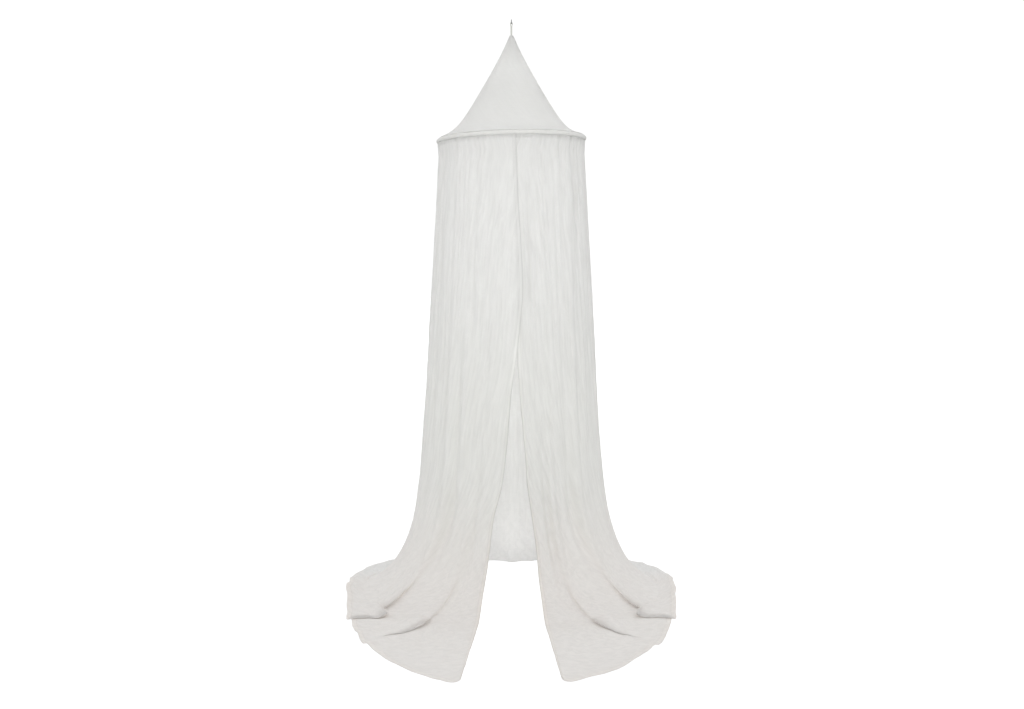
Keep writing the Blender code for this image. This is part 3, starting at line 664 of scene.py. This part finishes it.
def drapeSide(side, hoop, height, out):
    # x, y, z arrays of one side of the cloth, columns down the first axis
    d = drapeCloth
    shift, outward, lift, bow, swing = foldShape(side, hoop, height, out)
    even = d["flareEven"]
    share = even * (1 - height / d["top"]) + (1 - even) * np.exp(-height / d["flareHeight"])
    foot = readTable(strands, "hoop", "foot", hoop)
    turn = hoop + (foot - hoop) * share + swing
    turn = turn + shift * d["foldFoot"] * ease(1 - height / d["foldHeight"])
    reach = d["reach"] + (readTable(floorOutline, "turn", "foot", turn) - d["reach"]) * share
    reach = reach + d["topFlare"] * ease((height - d["top"] + d["topFlareTall"]) / d["topFlareTall"])
    sign = -1 if side == "left" else 1
    edgeX = sign * readTable(frontEdges, "height", side, height)
    pull = np.degrees(np.arcsin(edgeX / reach)) - strands[0]["foot"] * share
    turn = turn + pull * np.clip(1 - hoop / d["edgePull"], 0, 1) ** 2
    across, forward = reach * np.sin(np.radians(turn)), reach * np.cos(np.radians(turn))

    hemTurn = readTable(strands, "hoop", "hem", hoop) + shift * d["foldHem"]
    hemReach = readTable(floorOutline, "turn", "hem", hemTurn)
    inside = 1 - np.clip(hoop / d["cornerTurn"], 0, 1)
    hemReach = hemReach - d["cornerRound"] * (1 - np.sqrt(1 - inside ** 2))
    hemReach = hemReach + d["hemWave"] * wander(hemTurn * d["hemWaves"], 5.0 * sign) * ease(hoop / 5)
    hemTurn = np.radians(hemTurn)
    hemAcross, hemForward = hemReach * np.sin(hemTurn), hemReach * np.cos(hemTurn)
    run = out * np.hypot(hemAcross - across, hemForward - forward)
    across = across + (hemAcross - across) * out
    forward = forward + (hemForward - forward) * out
    bow = np.radians(bow)
    across, forward = (across * np.cos(bow) - forward * np.sin(bow),
                       forward * np.cos(bow) + across * np.sin(bow))

    outward = outward + longFoldRelief(side, hoop, height)
    lap = ease((height - d["lapFrom"]) / d["lapRise"]) * bell(hoop / d["lapTurn"])
    lap = lap * (1 - d["lapThinner"] * ease((height - d["lapThinFrom"]) / d["lapThinTall"]))
    outward = outward - sign * d["lapOffset"] * lap
    curl = np.clip(1 - hoop / d["edgeCurlTurn"], 0, 1) ** 1.6
    curl = curl * ease((d["lapFrom"] + 0.1 - height) / 0.2) * ease(height / 0.15)
    outward = outward - d["edgeCurl"] * curl
    stretch = 1 + outward / np.hypot(across, forward)
    x, y = sign * across * stretch, -forward * stretch
    down = np.clip((height - d["footSlope"] * run) / d["footSoft"], None, 30)
    rise = np.where(height / d["footSoft"] > 30, height, d["footSoft"] * np.log1p(np.exp(down)))
    z = floorZ + d["sheet"] / 2 + rise + lift + x * math.tan(hoopTilt) * ease(height / d["top"])
    return np.stack([x, y, z], axis=-1)


def gridNormals(points):
    # normals of a grid of points, without a mesh
    along = np.gradient(points, axis=0)
    down = np.gradient(points, axis=1)
    normals = np.cross(along, down)     # they point out of the canopy
    return normals / np.maximum(np.linalg.norm(normals, axis=-1, keepdims=True), 1e-12)


def doubled(hoops, heights):
    # 1 where a laid fold doubles the hanging cloth, so that relief can't push it through itself
    d = drapeCloth
    share = np.zeros(np.broadcast_shapes(hoops.shape, heights.shape))
    low = ease((d["doubledHeight"] - heights) / d["doubledTall"])
    for fold in laidFolds:
        sign = -1 if fold["side"] == "left" else 1
        across = np.abs(hoops - sign * fold["hoop"]) / fold["half"]
        share = np.maximum(share, ease((d["doubledSide"] - across) / d["doubledFade"]) * low)
    return share


def streak(hoops, heights, middle, half, out, low, high, drift, fade):
    # one gather from low to high, a ridge where out is plus and a valley where it is minus
    inside = ease((heights - low) / fade) * ease((high - heights) / fade + 0.1)
    return out * bell((hoops - middle - drift * (high - heights)) / half) ** 1.3 * inside


def gatherRelief(hoops, heights, outs):
    # hoops count from the middle of the front, minus to the left
    g = gathers
    draw = random.Random(g["seed"])
    top = drapeCloth["top"]
    total = np.zeros(np.broadcast_shapes(hoops.shape, heights.shape))
    for k in range(g["count"]):
        middle, half = draw.uniform(-180, 180), draw.uniform(*g["half"])
        out = draw.choice((-1, 1)) * draw.uniform(*g["out"])
        tall, lean = draw.uniform(*g["long"]), draw.uniform(-1, 1) * g["drift"]
        fromHoop = draw.random() < g["fromHoop"]
        high = top + 0.3 if fromHoop else draw.uniform(0.35, top)
        low = (top if fromHoop else high) - tall
        lean = lean * (1 if abs(middle) < 150 else 0)
        total += streak(hoops, heights, middle, half, out, low, high, lean, g["fade"])
    turns = np.radians(hoops)
    ringX, ringY = np.cos(turns), np.sin(turns)
    phase = g["waves"] * turns
    phase = phase + g["waveUneven"] * wanderFlat(5 * ringX, 5 * ringY + heights * 0.9, 1.9)
    strength = 0.55 + 0.6 * wanderFlat(9 * ringX + 4, 9 * ringY + heights * 1.8, 6.6)
    fade = ease((heights - g["waveLow"]) / g["waveTall"]) * np.clip(strength, 0, 1.2)
    total += g["waveOut"] * np.cos(phase) * fade
    start, width = g["edgeWide"]
    total *= g["edgeShare"] + (1 - g["edgeShare"]) * ease((np.abs(hoops) - start) / width)
    lapEnd, lapFade = g["lapWide"]
    lapped = ease((heights - drapeCloth["lapFrom"]) / 0.1) * ease((lapEnd - np.abs(hoops)) / lapFade)
    total *= 1 - g["lapCalm"] * lapped
    for line in clearGathers:
        sign = -1 if line["side"] == "left" else 1
        made = streak(hoops, heights, sign * line["hoop"], line["half"], line["out"],
                      line["low"], line["high"], sign * line["drift"], g["clearFade"])
        total += made * (hoops * sign >= 0)
    for crease in packCreases:
        sign = -1 if crease["side"] == "left" else 1
        leaning = crease["height"] + g["creaseLean"] * (hoops * sign - crease["hoop"])
        away = (heights - leaning) / g["creaseTall"]
        total += (crease["out"] * bell((hoops - sign * crease["hoop"]) / crease["wide"])
                  * np.exp(-away ** 2) * (1 - 1.2 * away))
    hanging = 1 - 0.7 * ease(outs * 6)
    broad = wanderFlat(7 * ringX + heights / 0.8, 7 * ringY, 3.3)
    total = total + g["swell"] * broad * hanging * ease((top - heights) / 0.25)
    pucker = wanderFlat(23 * ringX + 2 * heights, 23 * ringY, 8.1)
    total = total + g["pucker"] * pucker * np.exp(-(top - heights) / g["puckerTall"])
    return total


def floorRelief(points, outs, hanging):
    # creases that run out over the floor, and small crinkles all over
    g = gathers
    turns = np.arctan2(points[..., 0], -points[..., 1])
    reach = np.hypot(points[..., 0], points[..., 1])
    streaks = wanderFlat(np.degrees(turns) / g["streakTurn"], reach / g["streakLong"], 2.7)
    start, width = g["floorFrom"]
    onFloor = ease((reach - start) / width)
    high = np.maximum(points[..., 2] - floorZ - 0.04, 0)
    size = g["crinkleSize"]
    crinkles = wanderFlat(points[..., 0] / size + high / 0.05, points[..., 1] / size - high / 0.07, 9.4)
    if not hanging:     # only upwards, as the floor is under it
        streaks, crinkles = np.maximum(streaks, -0.2) + 0.2, np.maximum(crinkles, -0.3) + 0.3
    return (g["floorStreak"] * streaks * onFloor * (0.4 + 0.6 * ease(outs * 3))
            + g["crinkle"] * crinkles * (0.30 + 0.70 * onFloor))


def makeDrape(material):
    left = drapeColumns("left")
    right = drapeColumns("right")[:-1][::-1]
    rows = drapeRows()
    heights = np.array([row[0] for row in rows])[None, :]
    outs = np.array([row[1] for row in rows])[None, :]
    leftPoints = drapeSide("left", np.array(left)[:, None], heights, outs)
    rightPoints = drapeSide("right", np.array(right)[:, None], heights, outs)
    points = np.concatenate([leftPoints, rightPoints], axis=0)
    hoops = np.array([-angle for angle in left] + right)[:, None]
    relief = gatherRelief(hoops, heights, outs) + floorRelief(points, outs, hanging=True)
    relief = relief * (1 - drapeCloth["doubledCalm"] * doubled(hoops, heights))
    points = points + gridNormals(points) * (relief * (1 - ease(outs * 8)))[..., None]
    points[..., 2] += floorRelief(points, outs, hanging=False) * ease(outs * 8)
    points[..., 2] = np.maximum(points[..., 2], floorZ + drapeCloth["sheet"] / 2)

    freshSelection()
    columnCount, rowCount = points.shape[:2]
    bpy.ops.mesh.primitive_grid_add(x_subdivisions=columnCount - 1, y_subdivisions=rowCount - 1, size=1)
    drape = bpy.context.active_object
    drape.name = drape.data.name = "drapeCloth"
    mesh = drape.data
    flat = np.empty(len(mesh.vertices) * 3)
    mesh.vertices.foreach_get("co", flat)
    flat = flat.reshape(-1, 3)
    column = np.rint((flat[:, 0] + 0.5) * (columnCount - 1)).astype(int)
    row = np.rint((0.5 - flat[:, 1]) * (rowCount - 1)).astype(int)
    mesh.vertices.foreach_set("co", points[column, row].reshape(-1))

    # the cloth's own measures: across it from the back, and up from the hem
    steps = np.linalg.norm(np.diff(points, axis=1), axis=-1)
    upFromHem = np.cumsum(steps[:, ::-1], axis=1)[:, ::-1]
    fromHem = np.concatenate([upFromHem, np.zeros((columnCount, 1))], axis=1)
    widths = np.linalg.norm(np.diff(points, axis=0), axis=-1)
    acrossCloth = np.concatenate([np.zeros((1, rowCount)), np.cumsum(widths, axis=0)], axis=0)
    fromEdge = np.minimum(acrossCloth, acrossCloth[-1:] - acrossCloth)
    fromBack = acrossCloth - acrossCloth[len(left) - 1]
    clothUv(mesh, fromBack[column, row], fromHem[column, row])
    hemLines(mesh, fromHem[column, row], fromEdge[column, row])

    inHem = 1 - ease((fromHem - drapeCloth["hemWide"]) / 0.002)
    inEdge = 1 - ease((fromEdge - drapeCloth["edgeHemWide"]) / 0.002)
    thin = drapeCloth["thin"] / drapeCloth["hemThick"]
    weights = thin + (1 - thin) * np.maximum(inHem, inEdge)
    group = drape.vertex_groups.new(name="thick")
    for k, weight in enumerate(weights[column, row]):
        group.add([k], float(weight), "REPLACE")
    drape.data.materials.append(material)
    useModifier(drape, "SOLIDIFY", thickness=drapeCloth["hemThick"], offset=0.0, vertex_group="thick")
    bpy.ops.object.shade_smooth()
    area = 0.5 * sum(p.area for p in drape.data.polygons)
    hemLong, topLong = round(float(acrossCloth[-1, -1]), 3), round(float(acrossCloth[-1, 0]), 3)
    frontLong, backLong = round(float(fromHem[0, 0]), 3), round(float(fromHem[len(left) - 1, 0]), 3)
    print("drape", len(drape.data.polygons), "faces, cloth area", round(area, 3), "hem", hemLong,
          "top", topLong, "front edge", frontLong, "back", backLong)
    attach(drape, "root")
    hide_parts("drape")
    return drape


def hemLines(mesh, fromHem, fromEdge):
    # the way in from the hem and from the front edges, which the stitches follow
    for turned, values in zip(clothHems, (fromHem, fromEdge)):
        mesh.attributes.new(turned["line"], "FLOAT", "POINT").data.foreach_set("value", values)


def clothUv(mesh, across, down):
    # metres across and down the cloth, in the only map that is kept
    if "cloth" not in mesh.uv_layers:
        mesh.uv_layers.new(name="cloth")
    while len(mesh.uv_layers) > 1:
        mesh.uv_layers.remove(next(spare for spare in mesh.uv_layers if spare.name != "cloth"))
    layer = mesh.uv_layers["cloth"]
    corners = np.empty(len(mesh.loops), int)
    mesh.loops.foreach_get("vertex_index", corners)
    layer.data.foreach_set("uv", np.stack([across[corners], down[corners]], axis=-1).reshape(-1))


# the taut cone over the hoop
crownCloth = {
    "tip": -0.0500,
    "rim": 0.2435,
    "plain": 0.71,          # its reach is this share of a plain cone's,
    "hollow": 0.11,         # this share of a hollow curve,
    "brim": 0.18,           # and this share that comes in only near the rim
    "brimPower": 16,
    "overHoop": 0.0085,     # height of its rim over the middle of the hoop
    "rows": 76,
    "rowPower": 1.15,       # rows closer together towards the tip
    "around": 256,
    "cap": ((0.72, 0.0009), (0.45, 0.0005)),    # rings that close the tip: narrower, higher
    "thin": 0.0008,
    "neck": 0.0060,         # how much fuller it is at the tip than a plain cone
    "neckReach": 0.16,
    "pleats": 9,
    "pleatDepth": 0.0006,
    "pleatReach": 0.10,     # how far down from the tip the pleats run, as a share
    "seamTurn": 64.0,       # degrees to the right of the middle of the front
    "seamHalf": 0.0055,     # the turned edges lie this far to each side of the seam
    "seamHigh": 0.0007,
    "seamWrinkle": 0.0012,
    "wrinkleHalf": 0.016,   # how far to each side the wrinkles run
    "dimple": 0.0012,       # slight unevenness of the taut cloth
    "edgeAway": 0.0085,     # keeps the seam's stitches off the middle of the seam
}


def crownReach(share):
    c = crownCloth
    reach = c["rim"] * (c["plain"] * share + c["hollow"] * share ** 2 + c["brim"] * share ** c["brimPower"])
    return reach + c["neck"] * math.exp(-share / c["neckReach"])


def makeCrown(material):
    c = crownCloth
    rimZ = hoopZ + c["overHoop"]
    tall = c["tip"] - rimZ
    freshSelection()
    bpy.ops.mesh.primitive_circle_add(vertices=c["around"], radius=crownReach(1.0),
                                      location=(0, 0, rimZ))
    crown = bpy.context.active_object
    crown.name = crown.data.name = "crownCloth"
    bpy.ops.object.transform_apply(location=True, rotation=True, scale=True)
    bpy.ops.object.mode_set(mode="EDIT")
    bpy.ops.mesh.select_all(action="SELECT")
    before = 1.0
    for row in range(1, c["rows"] + 1):
        share = (1 - row / c["rows"]) ** c["rowPower"]
        up = tall * (before - share)
        bpy.ops.mesh.extrude_region_move(TRANSFORM_OT_translate={"value": (0, 0, up)})
        scale = crownReach(share) / crownReach(before)
        bpy.ops.transform.resize(value=(scale, scale, 1), center_override=(0, 0, 0))
        before = share
    for narrower, higher in c["cap"]:
        bpy.ops.mesh.extrude_region_move(TRANSFORM_OT_translate={"value": (0, 0, higher)})
        bpy.ops.transform.resize(value=(narrower, narrower, 1), center_override=(0, 0, 0))
    bpy.ops.mesh.edge_face_add()
    bpy.ops.mesh.poke()
    bpy.ops.mesh.select_all(action="SELECT")
    bpy.ops.mesh.normals_make_consistent(inside=False)
    bpy.ops.object.mode_set(mode="OBJECT")

    mesh = crown.data
    places = np.empty(len(mesh.vertices) * 3)
    mesh.vertices.foreach_get("co", places)
    places = places.reshape(-1, 3)
    reach = np.hypot(places[:, 0], places[:, 1])
    turn = np.arctan2(places[:, 0], -places[:, 1])
    share = np.clip((c["tip"] - places[:, 2]) / tall, 0, 1)
    bend = np.array([noise.noise(Vector((2.2 * math.cos(a), 2.2 * math.sin(a), 4.0))) for a in turn])
    depth = c["pleatDepth"] * np.cos(c["pleats"] * turn + 3 * bend) * ease(share / 0.02 + 0.3)
    depth *= np.exp(-share / c["pleatReach"])
    dimples = wanderFlat(3 * np.cos(turn), 3 * np.sin(turn) + 2 * share, 7.7)
    depth += c["dimple"] * ease(share / 0.3) * dimples
    # the seam: two turned edges under it, and small wrinkles where it draws in
    fromSeam = (np.degrees(turn) - c["seamTurn"] + 180) % 360 - 180
    fromSeam = np.radians(fromSeam) * np.maximum(reach, 0.004)
    beside = np.abs(fromSeam) / c["seamHalf"]
    depth += c["seamHigh"] * ease((1.25 - beside) / 0.3) * ease(share / 0.05)
    depth -= 0.9 * c["seamHigh"] * np.exp(-(beside / 0.2) ** 2) * ease(share / 0.05)
    wrinkles = c["seamWrinkle"] * wanderFlat(share * 30, fromSeam / 0.05, 5.1)
    wrinkles *= np.exp(-np.abs(fromSeam) / c["wrinkleHalf"])
    depth += wrinkles * ease(share / 0.15) * ease((1 - share) / 0.2)
    places[:, 0] += np.sin(turn) * depth
    places[:, 1] -= np.cos(turn) * depth
    places[:, 2] += places[:, 0] * math.tan(hoopTilt) * (reach / c["rim"]) ** 4
    mesh.vertices.foreach_set("co", places.reshape(-1))
    slant = share * math.hypot(tall, c["rim"])
    clothUv(mesh, fromSeam, slant)
    hemLines(mesh, np.full(len(turn), 1.0), np.abs(fromSeam) + c["edgeAway"])   # no hem here
    mesh.materials.append(material)
    useModifier(crown, "SOLIDIFY", thickness=c["thin"], offset=0.0)
    bpy.ops.object.shade_smooth()
    area = 0.5 * sum(p.area for p in mesh.polygons)
    print("crown", len(mesh.polygons), "faces, cloth area", round(area, 3))
    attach(crown, "root")
    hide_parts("crown")
    return crown


# the strip of cloth sewn round the hoop
casingCloth = {
    "reach": 0.2435,
    "radius": 0.0064,
    "around": 300,
    "sides": 18,
    "pucker": 0.00054,
    "puckerTurns": 26,      # how closely the puckers follow each other round the hoop
    "puckerSides": 2.0,
}


def makeCasing(material):
    c = casingCloth
    freshSelection()
    bpy.ops.mesh.primitive_torus_add(major_radius=c["reach"], minor_radius=c["radius"],
                                     major_segments=c["around"], minor_segments=c["sides"],
                                     location=(0, 0, hoopZ), rotation=(0, -hoopTilt, 0))
    casing = bpy.context.active_object
    casing.name = casing.data.name = "hoopCasing"
    bpy.ops.object.transform_apply(location=True, rotation=True, scale=True)
    mesh = casing.data
    places = np.empty(len(mesh.vertices) * 3)
    mesh.vertices.foreach_get("co", places)
    places = places.reshape(-1, 3)
    turn = np.arctan2(places[:, 0], -places[:, 1])
    middle = np.stack([c["reach"] * np.sin(turn), -c["reach"] * np.cos(turn),
                       hoopZ + c["reach"] * np.sin(turn) * math.tan(hoopTilt)], axis=-1)
    spoke = places - middle
    around = np.arctan2(spoke[:, 2], np.hypot(places[:, 0], places[:, 1]) - c["reach"])
    turns = c["puckerTurns"]
    pucker = np.array([noise.noise(Vector((turns * math.cos(a), turns * math.sin(a), c["puckerSides"] * b)))
                       for a, b in zip(turn, around)])
    places += spoke / c["radius"] * (c["pucker"] * pucker)[:, None]
    mesh.vertices.foreach_set("co", places.reshape(-1))
    clothUv(mesh, turn * c["reach"], around * c["radius"])
    mesh.materials.append(material)
    bpy.ops.object.shade_smooth()
    print("casing", len(mesh.polygons), "faces")
    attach(casing, "root")
    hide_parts("hoop_casing")
    return casing


# the cord that hangs the crown from the ring
loopCord = {
    "turnZ": -0.0105,       # middle of the ring's wire at its lowest
    "turnHalf": 0.00318,
    "closing": (0.002, 0.009),  # below the wire, from here to there, the two runs come together
    "straight": 0.013,      # and from here they hang side by side
    "legHalf": 0.00160,
    "tipZ": -0.0520,
    "overTip": 0.004,
    "sewnLong": 0.005,
    "strands": 3,
    "strandRadius": 0.00066,
    "strandOff": 0.00084,   # from the middle of the cord to the middle of a strand
    "twist": 0.0095,        # metres to each full turn of the strands
    "step": 0.0006,
    "smoothing": 3,
}


def loopRoute():
    # from over the ring's wire down one side; the other half mirrors it
    c = loopCord
    half = []
    for k in range(7):
        angle = math.radians(90 - k * 15)
        x, up = c["turnHalf"] * math.cos(angle), c["turnHalf"] * math.sin(angle)
        half.append((x, 0.0, c["turnZ"] + up))
    for down in np.linspace(*c["closing"], 5):
        close = float(ease((down - 0.001) / 0.008))
        half.append((c["turnHalf"] + (c["legHalf"] - c["turnHalf"]) * close, 0.0, c["turnZ"] - down))
    sewnZ = c["tipZ"] + c["overTip"]
    for z in np.linspace(c["turnZ"] - c["straight"], sewnZ, 9):
        half.append((c["legHalf"], 0.0, float(z)))
    for k in range(1, 7):
        half.append((c["legHalf"], 0.0, sewnZ - c["sewnLong"] * k / 6))
    other = [(-x, y, z) for x, y, z in half[1:]]
    return [Vector(place) for place in other[::-1] + half]


def makeLoop(material):
    c = loopCord
    route = loopRoute()
    lengths = np.concatenate([[0], np.cumsum([(b - a).length for a, b in zip(route, route[1:])])])
    steps = int(lengths[-1] / c["step"])
    run = np.linspace(0, lengths[-1], steps)
    places = np.array([np.interp(run, lengths, [spot[axis] for spot in route]) for axis in range(3)]).T
    for smoothed in range(c["smoothing"]):
        places[1:-1] = (places[:-2] + 2 * places[1:-1] + places[2:]) / 4
    ahead = np.gradient(places, axis=0)
    ahead /= np.linalg.norm(ahead, axis=1, keepdims=True)
    side = np.array([0.0, 1.0, 0.0])
    over = np.cross(ahead, side)
    strandsMade = []
    for strand in range(c["strands"]):
        freshSelection()
        bpy.ops.mesh.primitive_circle_add(vertices=8, radius=c["strandRadius"])
        turning = 2 * math.pi * (run / c["twist"] + strand / c["strands"])
        spoke = np.cos(turning)[:, None] * side + np.sin(turning)[:, None] * over
        middle = places + c["strandOff"] * spoke
        tangent = np.gradient(middle, axis=0)
        tangent /= np.linalg.norm(tangent, axis=1, keepdims=True)
        first = np.cross(tangent, side)
        first /= np.linalg.norm(first, axis=1, keepdims=True)
        second = np.cross(tangent, first)
        made = bpy.context.active_object
        bpy.ops.object.mode_set(mode="EDIT")
        bpy.ops.mesh.select_all(action="SELECT")
        bpy.ops.mesh.edge_face_add()
        for extruded in range(1, steps):    # straight up first, a millimetre to each step
            bpy.ops.mesh.extrude_region_move(TRANSFORM_OT_translate={"value": (0, 0, 0.001)})
        bpy.ops.object.mode_set(mode="OBJECT")
        flat = np.array([tuple(v.co) for v in made.data.vertices])
        level = np.rint(flat[:, 2] / 0.001).astype(int)
        angle = np.arctan2(flat[:, 1], flat[:, 0])
        ring = np.cos(angle)[:, None] * first[level] + np.sin(angle)[:, None] * second[level]
        made.data.vertices.foreach_set("co", (middle[level] + c["strandRadius"] * ring).reshape(-1))
        strandsMade.append(made)
    freshSelection()
    for made in strandsMade:
        made.select_set(True)
    loop = strandsMade[0]
    bpy.context.view_layer.objects.active = loop
    bpy.ops.object.join()
    loop.name = loop.data.name = "hangingCord"
    bpy.ops.object.mode_set(mode="EDIT")
    bpy.ops.mesh.select_all(action="SELECT")
    bpy.ops.mesh.normals_make_consistent(inside=False)
    bpy.ops.object.mode_set(mode="OBJECT")
    bpy.ops.object.shade_smooth()
    loop.data.materials.append(material)
    print("loop", len(loop.data.polygons), "faces, length", round(float(lengths[-1]), 4))
    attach(loop, "root")
    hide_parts("hanging_loop")
    return loop


# the floor, the light round it and the camera
stageSetup = {
    "floorColour": (0.16, 0.16, 0.16),
    "floorGlow": 0.98,
    "worldSeen": 1.05,                      # the plain backdrop
    "worldAbove": 0.82,
    "worldBelow": 0.60,
    "worldFront": 0.02,                     # how much brighter it is in front than behind
    "keyPlace": (-0.1, -2.3, -0.75),
    "keyAim": (0, 0, -0.72),
    "keySize": 1.1,
    "keyPower": 3.6,
    "keySpread": 80,
    "fillPlace": (2.8, -2.2, floorZ + 2.0),
    "fillAim": (0, 0, floorZ + 1.0),
    "fillSize": 2.0,
    "fillPower": 2,
    "insidePower": 0.37,
    "insideRadius": 0.10,
    "cameraLens": 39.02,
    "cameraPlace": (0.002, -3.75, 1.12),    # height is over the floor
    "cameraPitch": 4.8,
}

# soft lamps inside, as light that has come in through the cloth: each has its height over the
# floor, how far back it is, and its share of insidePower
insideLamps = [
    {"height": 0.09, "back": 0.12, "share": 0.75},
    {"height": 0.26, "back": 0.12, "share": 0.34},
    {"height": 0.42, "back": 0.14, "share": 0.34},
    {"height": 0.57, "back": 0.14, "share": 0.40},
    {"height": 0.72, "back": 0.14, "share": 0.42},
    {"height": 0.88, "back": 0.08, "share": 0.32},
    {"height": 1.13, "back": 0.02, "share": 0.74},
    {"height": 1.40, "back": 0.0, "share": 0.93},
    {"height": 1.71, "back": 0.0, "share": 0.12},
]


def makeFloor():
    freshSelection()
    bpy.ops.mesh.primitive_plane_add(size=60, location=(0, 0, floorZ - 0.0006))
    floor = bpy.context.active_object
    floor.name = "studioFloor"
    made, shader = newMaterial("paleFloor", 0.9)
    tree = made.node_tree
    place = addNode(tree, "ShaderNodeTexCoord").outputs["Object"]
    cloudy = addNode(tree, "ShaderNodeTexNoise", Vector=place, Scale=0.7, Detail=3.0).outputs[0]
    ramp = addNode(tree, "ShaderNodeValToRGB", Fac=cloudy)
    base = stageSetup["floorColour"]
    ramp.color_ramp.elements[0].color = (*[v * 0.985 for v in base], 1)
    ramp.color_ramp.elements[1].color = (*base, 1)
    tree.links.new(ramp.outputs[0], shader.inputs["Base Color"])
    shader.inputs["Emission Color"].default_value = (1, 1, 1, 1)
    shader.inputs["Emission Strength"].default_value = stageSetup["floorGlow"]
    floor.data.materials.append(made)
    floor.visible_diffuse = False   # seen, but it sends no light up into the cloth
    floor.visible_transmission = False
    floor.visible_glossy = False


def makeWorld():
    world = bpy.data.worlds.new("studioWorld")
    bpy.context.scene.world = world
    world.use_nodes = True
    tree = world.node_tree
    tree.nodes.clear()
    seen = addNode(tree, "ShaderNodeBackground", Color=(1, 1, 1, 1), Strength=stageSetup["worldSeen"])
    facing = addNode(tree, "ShaderNodeTexCoord").outputs["Generated"]
    facing = addNode(tree, "ShaderNodeSeparateXYZ", Vector=facing).outputs
    above = addNode(tree, "ShaderNodeMapRange", {"interpolation_type": "SMOOTHSTEP"}, Value=facing[2],
                    From_Min=-0.5, From_Max=0.5, To_Min=stageSetup["worldBelow"],
                    To_Max=stageSetup["worldAbove"]).outputs[0]
    front = maths(tree, "SUBTRACT", 1.0, maths(tree, "MULTIPLY", facing[1], stageSetup["worldFront"]))
    strength = maths(tree, "MULTIPLY", above, front)
    light = addNode(tree, "ShaderNodeBackground", Color=(1, 1, 1, 1), Strength=strength)
    path = addNode(tree, "ShaderNodeLightPath")
    mix = addNode(tree, "ShaderNodeMixShader", Fac=path.outputs["Is Camera Ray"])
    tree.links.new(light.outputs[0], mix.inputs[1])
    tree.links.new(seen.outputs[0], mix.inputs[2])
    out = addNode(tree, "ShaderNodeOutputWorld")
    tree.links.new(mix.outputs[0], out.inputs[0])


def addSoftbox(name, place, size, power, aim, spread=180):
    freshSelection()
    bpy.ops.object.light_add(type="AREA", location=place)
    box = bpy.context.active_object
    box.name = name
    box.data.size = size
    box.data.energy = power
    box.data.spread = math.radians(spread)
    towards = Vector(aim) - Vector(place)
    box.rotation_euler = towards.to_track_quat("-Z", "Y").to_euler()


def addInsideLamp(height, back, share):
    freshSelection()
    bpy.ops.object.light_add(type="POINT", radius=stageSetup["insideRadius"],
                             location=(0, back, floorZ + height))
    lamp = bpy.context.active_object
    lamp.name = "insideGlow"
    lamp.data.energy = stageSetup["insidePower"] * share
    lamp.visible_camera = False


def makeCamera():
    freshSelection()
    x, y, height = stageSetup["cameraPlace"]
    bpy.ops.object.camera_add(location=(x, y, floorZ + height),
                              rotation=(math.radians(90 - stageSetup["cameraPitch"]), 0, 0))
    camera = bpy.context.active_object
    camera.name = "studioCamera"
    camera.data.sensor_width = 36
    camera.data.lens = stageSetup["cameraLens"]
    bpy.context.scene.camera = camera


makeCamera()
makeFloor()
makeWorld()
addSoftbox("frontSoftbox", stageSetup["keyPlace"], stageSetup["keySize"], stageSetup["keyPower"],
           stageSetup["keyAim"], stageSetup["keySpread"])
addSoftbox("sideSoftbox", stageSetup["fillPlace"], stageSetup["fillSize"], stageSetup["fillPower"],
           stageSetup["fillAim"])
for lamp in insideLamps:
    addInsideLamp(**lamp)
bpy.context.scene.view_settings.view_transform = "Standard"
print("stage set")

drapeMaterial = clothMaterial("crinkledCotton", clothLook, stitched=True)
# the crown and the casing take the same cotton, painted darker as painted shade: the crown faces up away
# from the front light, and the casing turns away from it
crownMaterial = clothMaterial("smoothCottonShaded", clothLook, paintedShade=0.932, crinkle=0.2, stitched=True)
casingMaterial = clothMaterial("casingCottonShaded", clothLook, paintedShade=0.972, crinkle=0.3)
drape = makeDrape(drapeMaterial)
casing = makeCasing(casingMaterial)
crown = makeCrown(crownMaterial)
loop = makeLoop(plainMaterial("cottonCord"))

nodes = {node.name: node for node in bpy.data.objects if "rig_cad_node" in node}
for name, finish in (("hanging_ring", "drawnSteel"), ("hoop", "hoopPlastic")):
    material = plainMaterial(finish)
    for slot in nodes[name].material_slots:
        slot.material = material
print("finishes set")
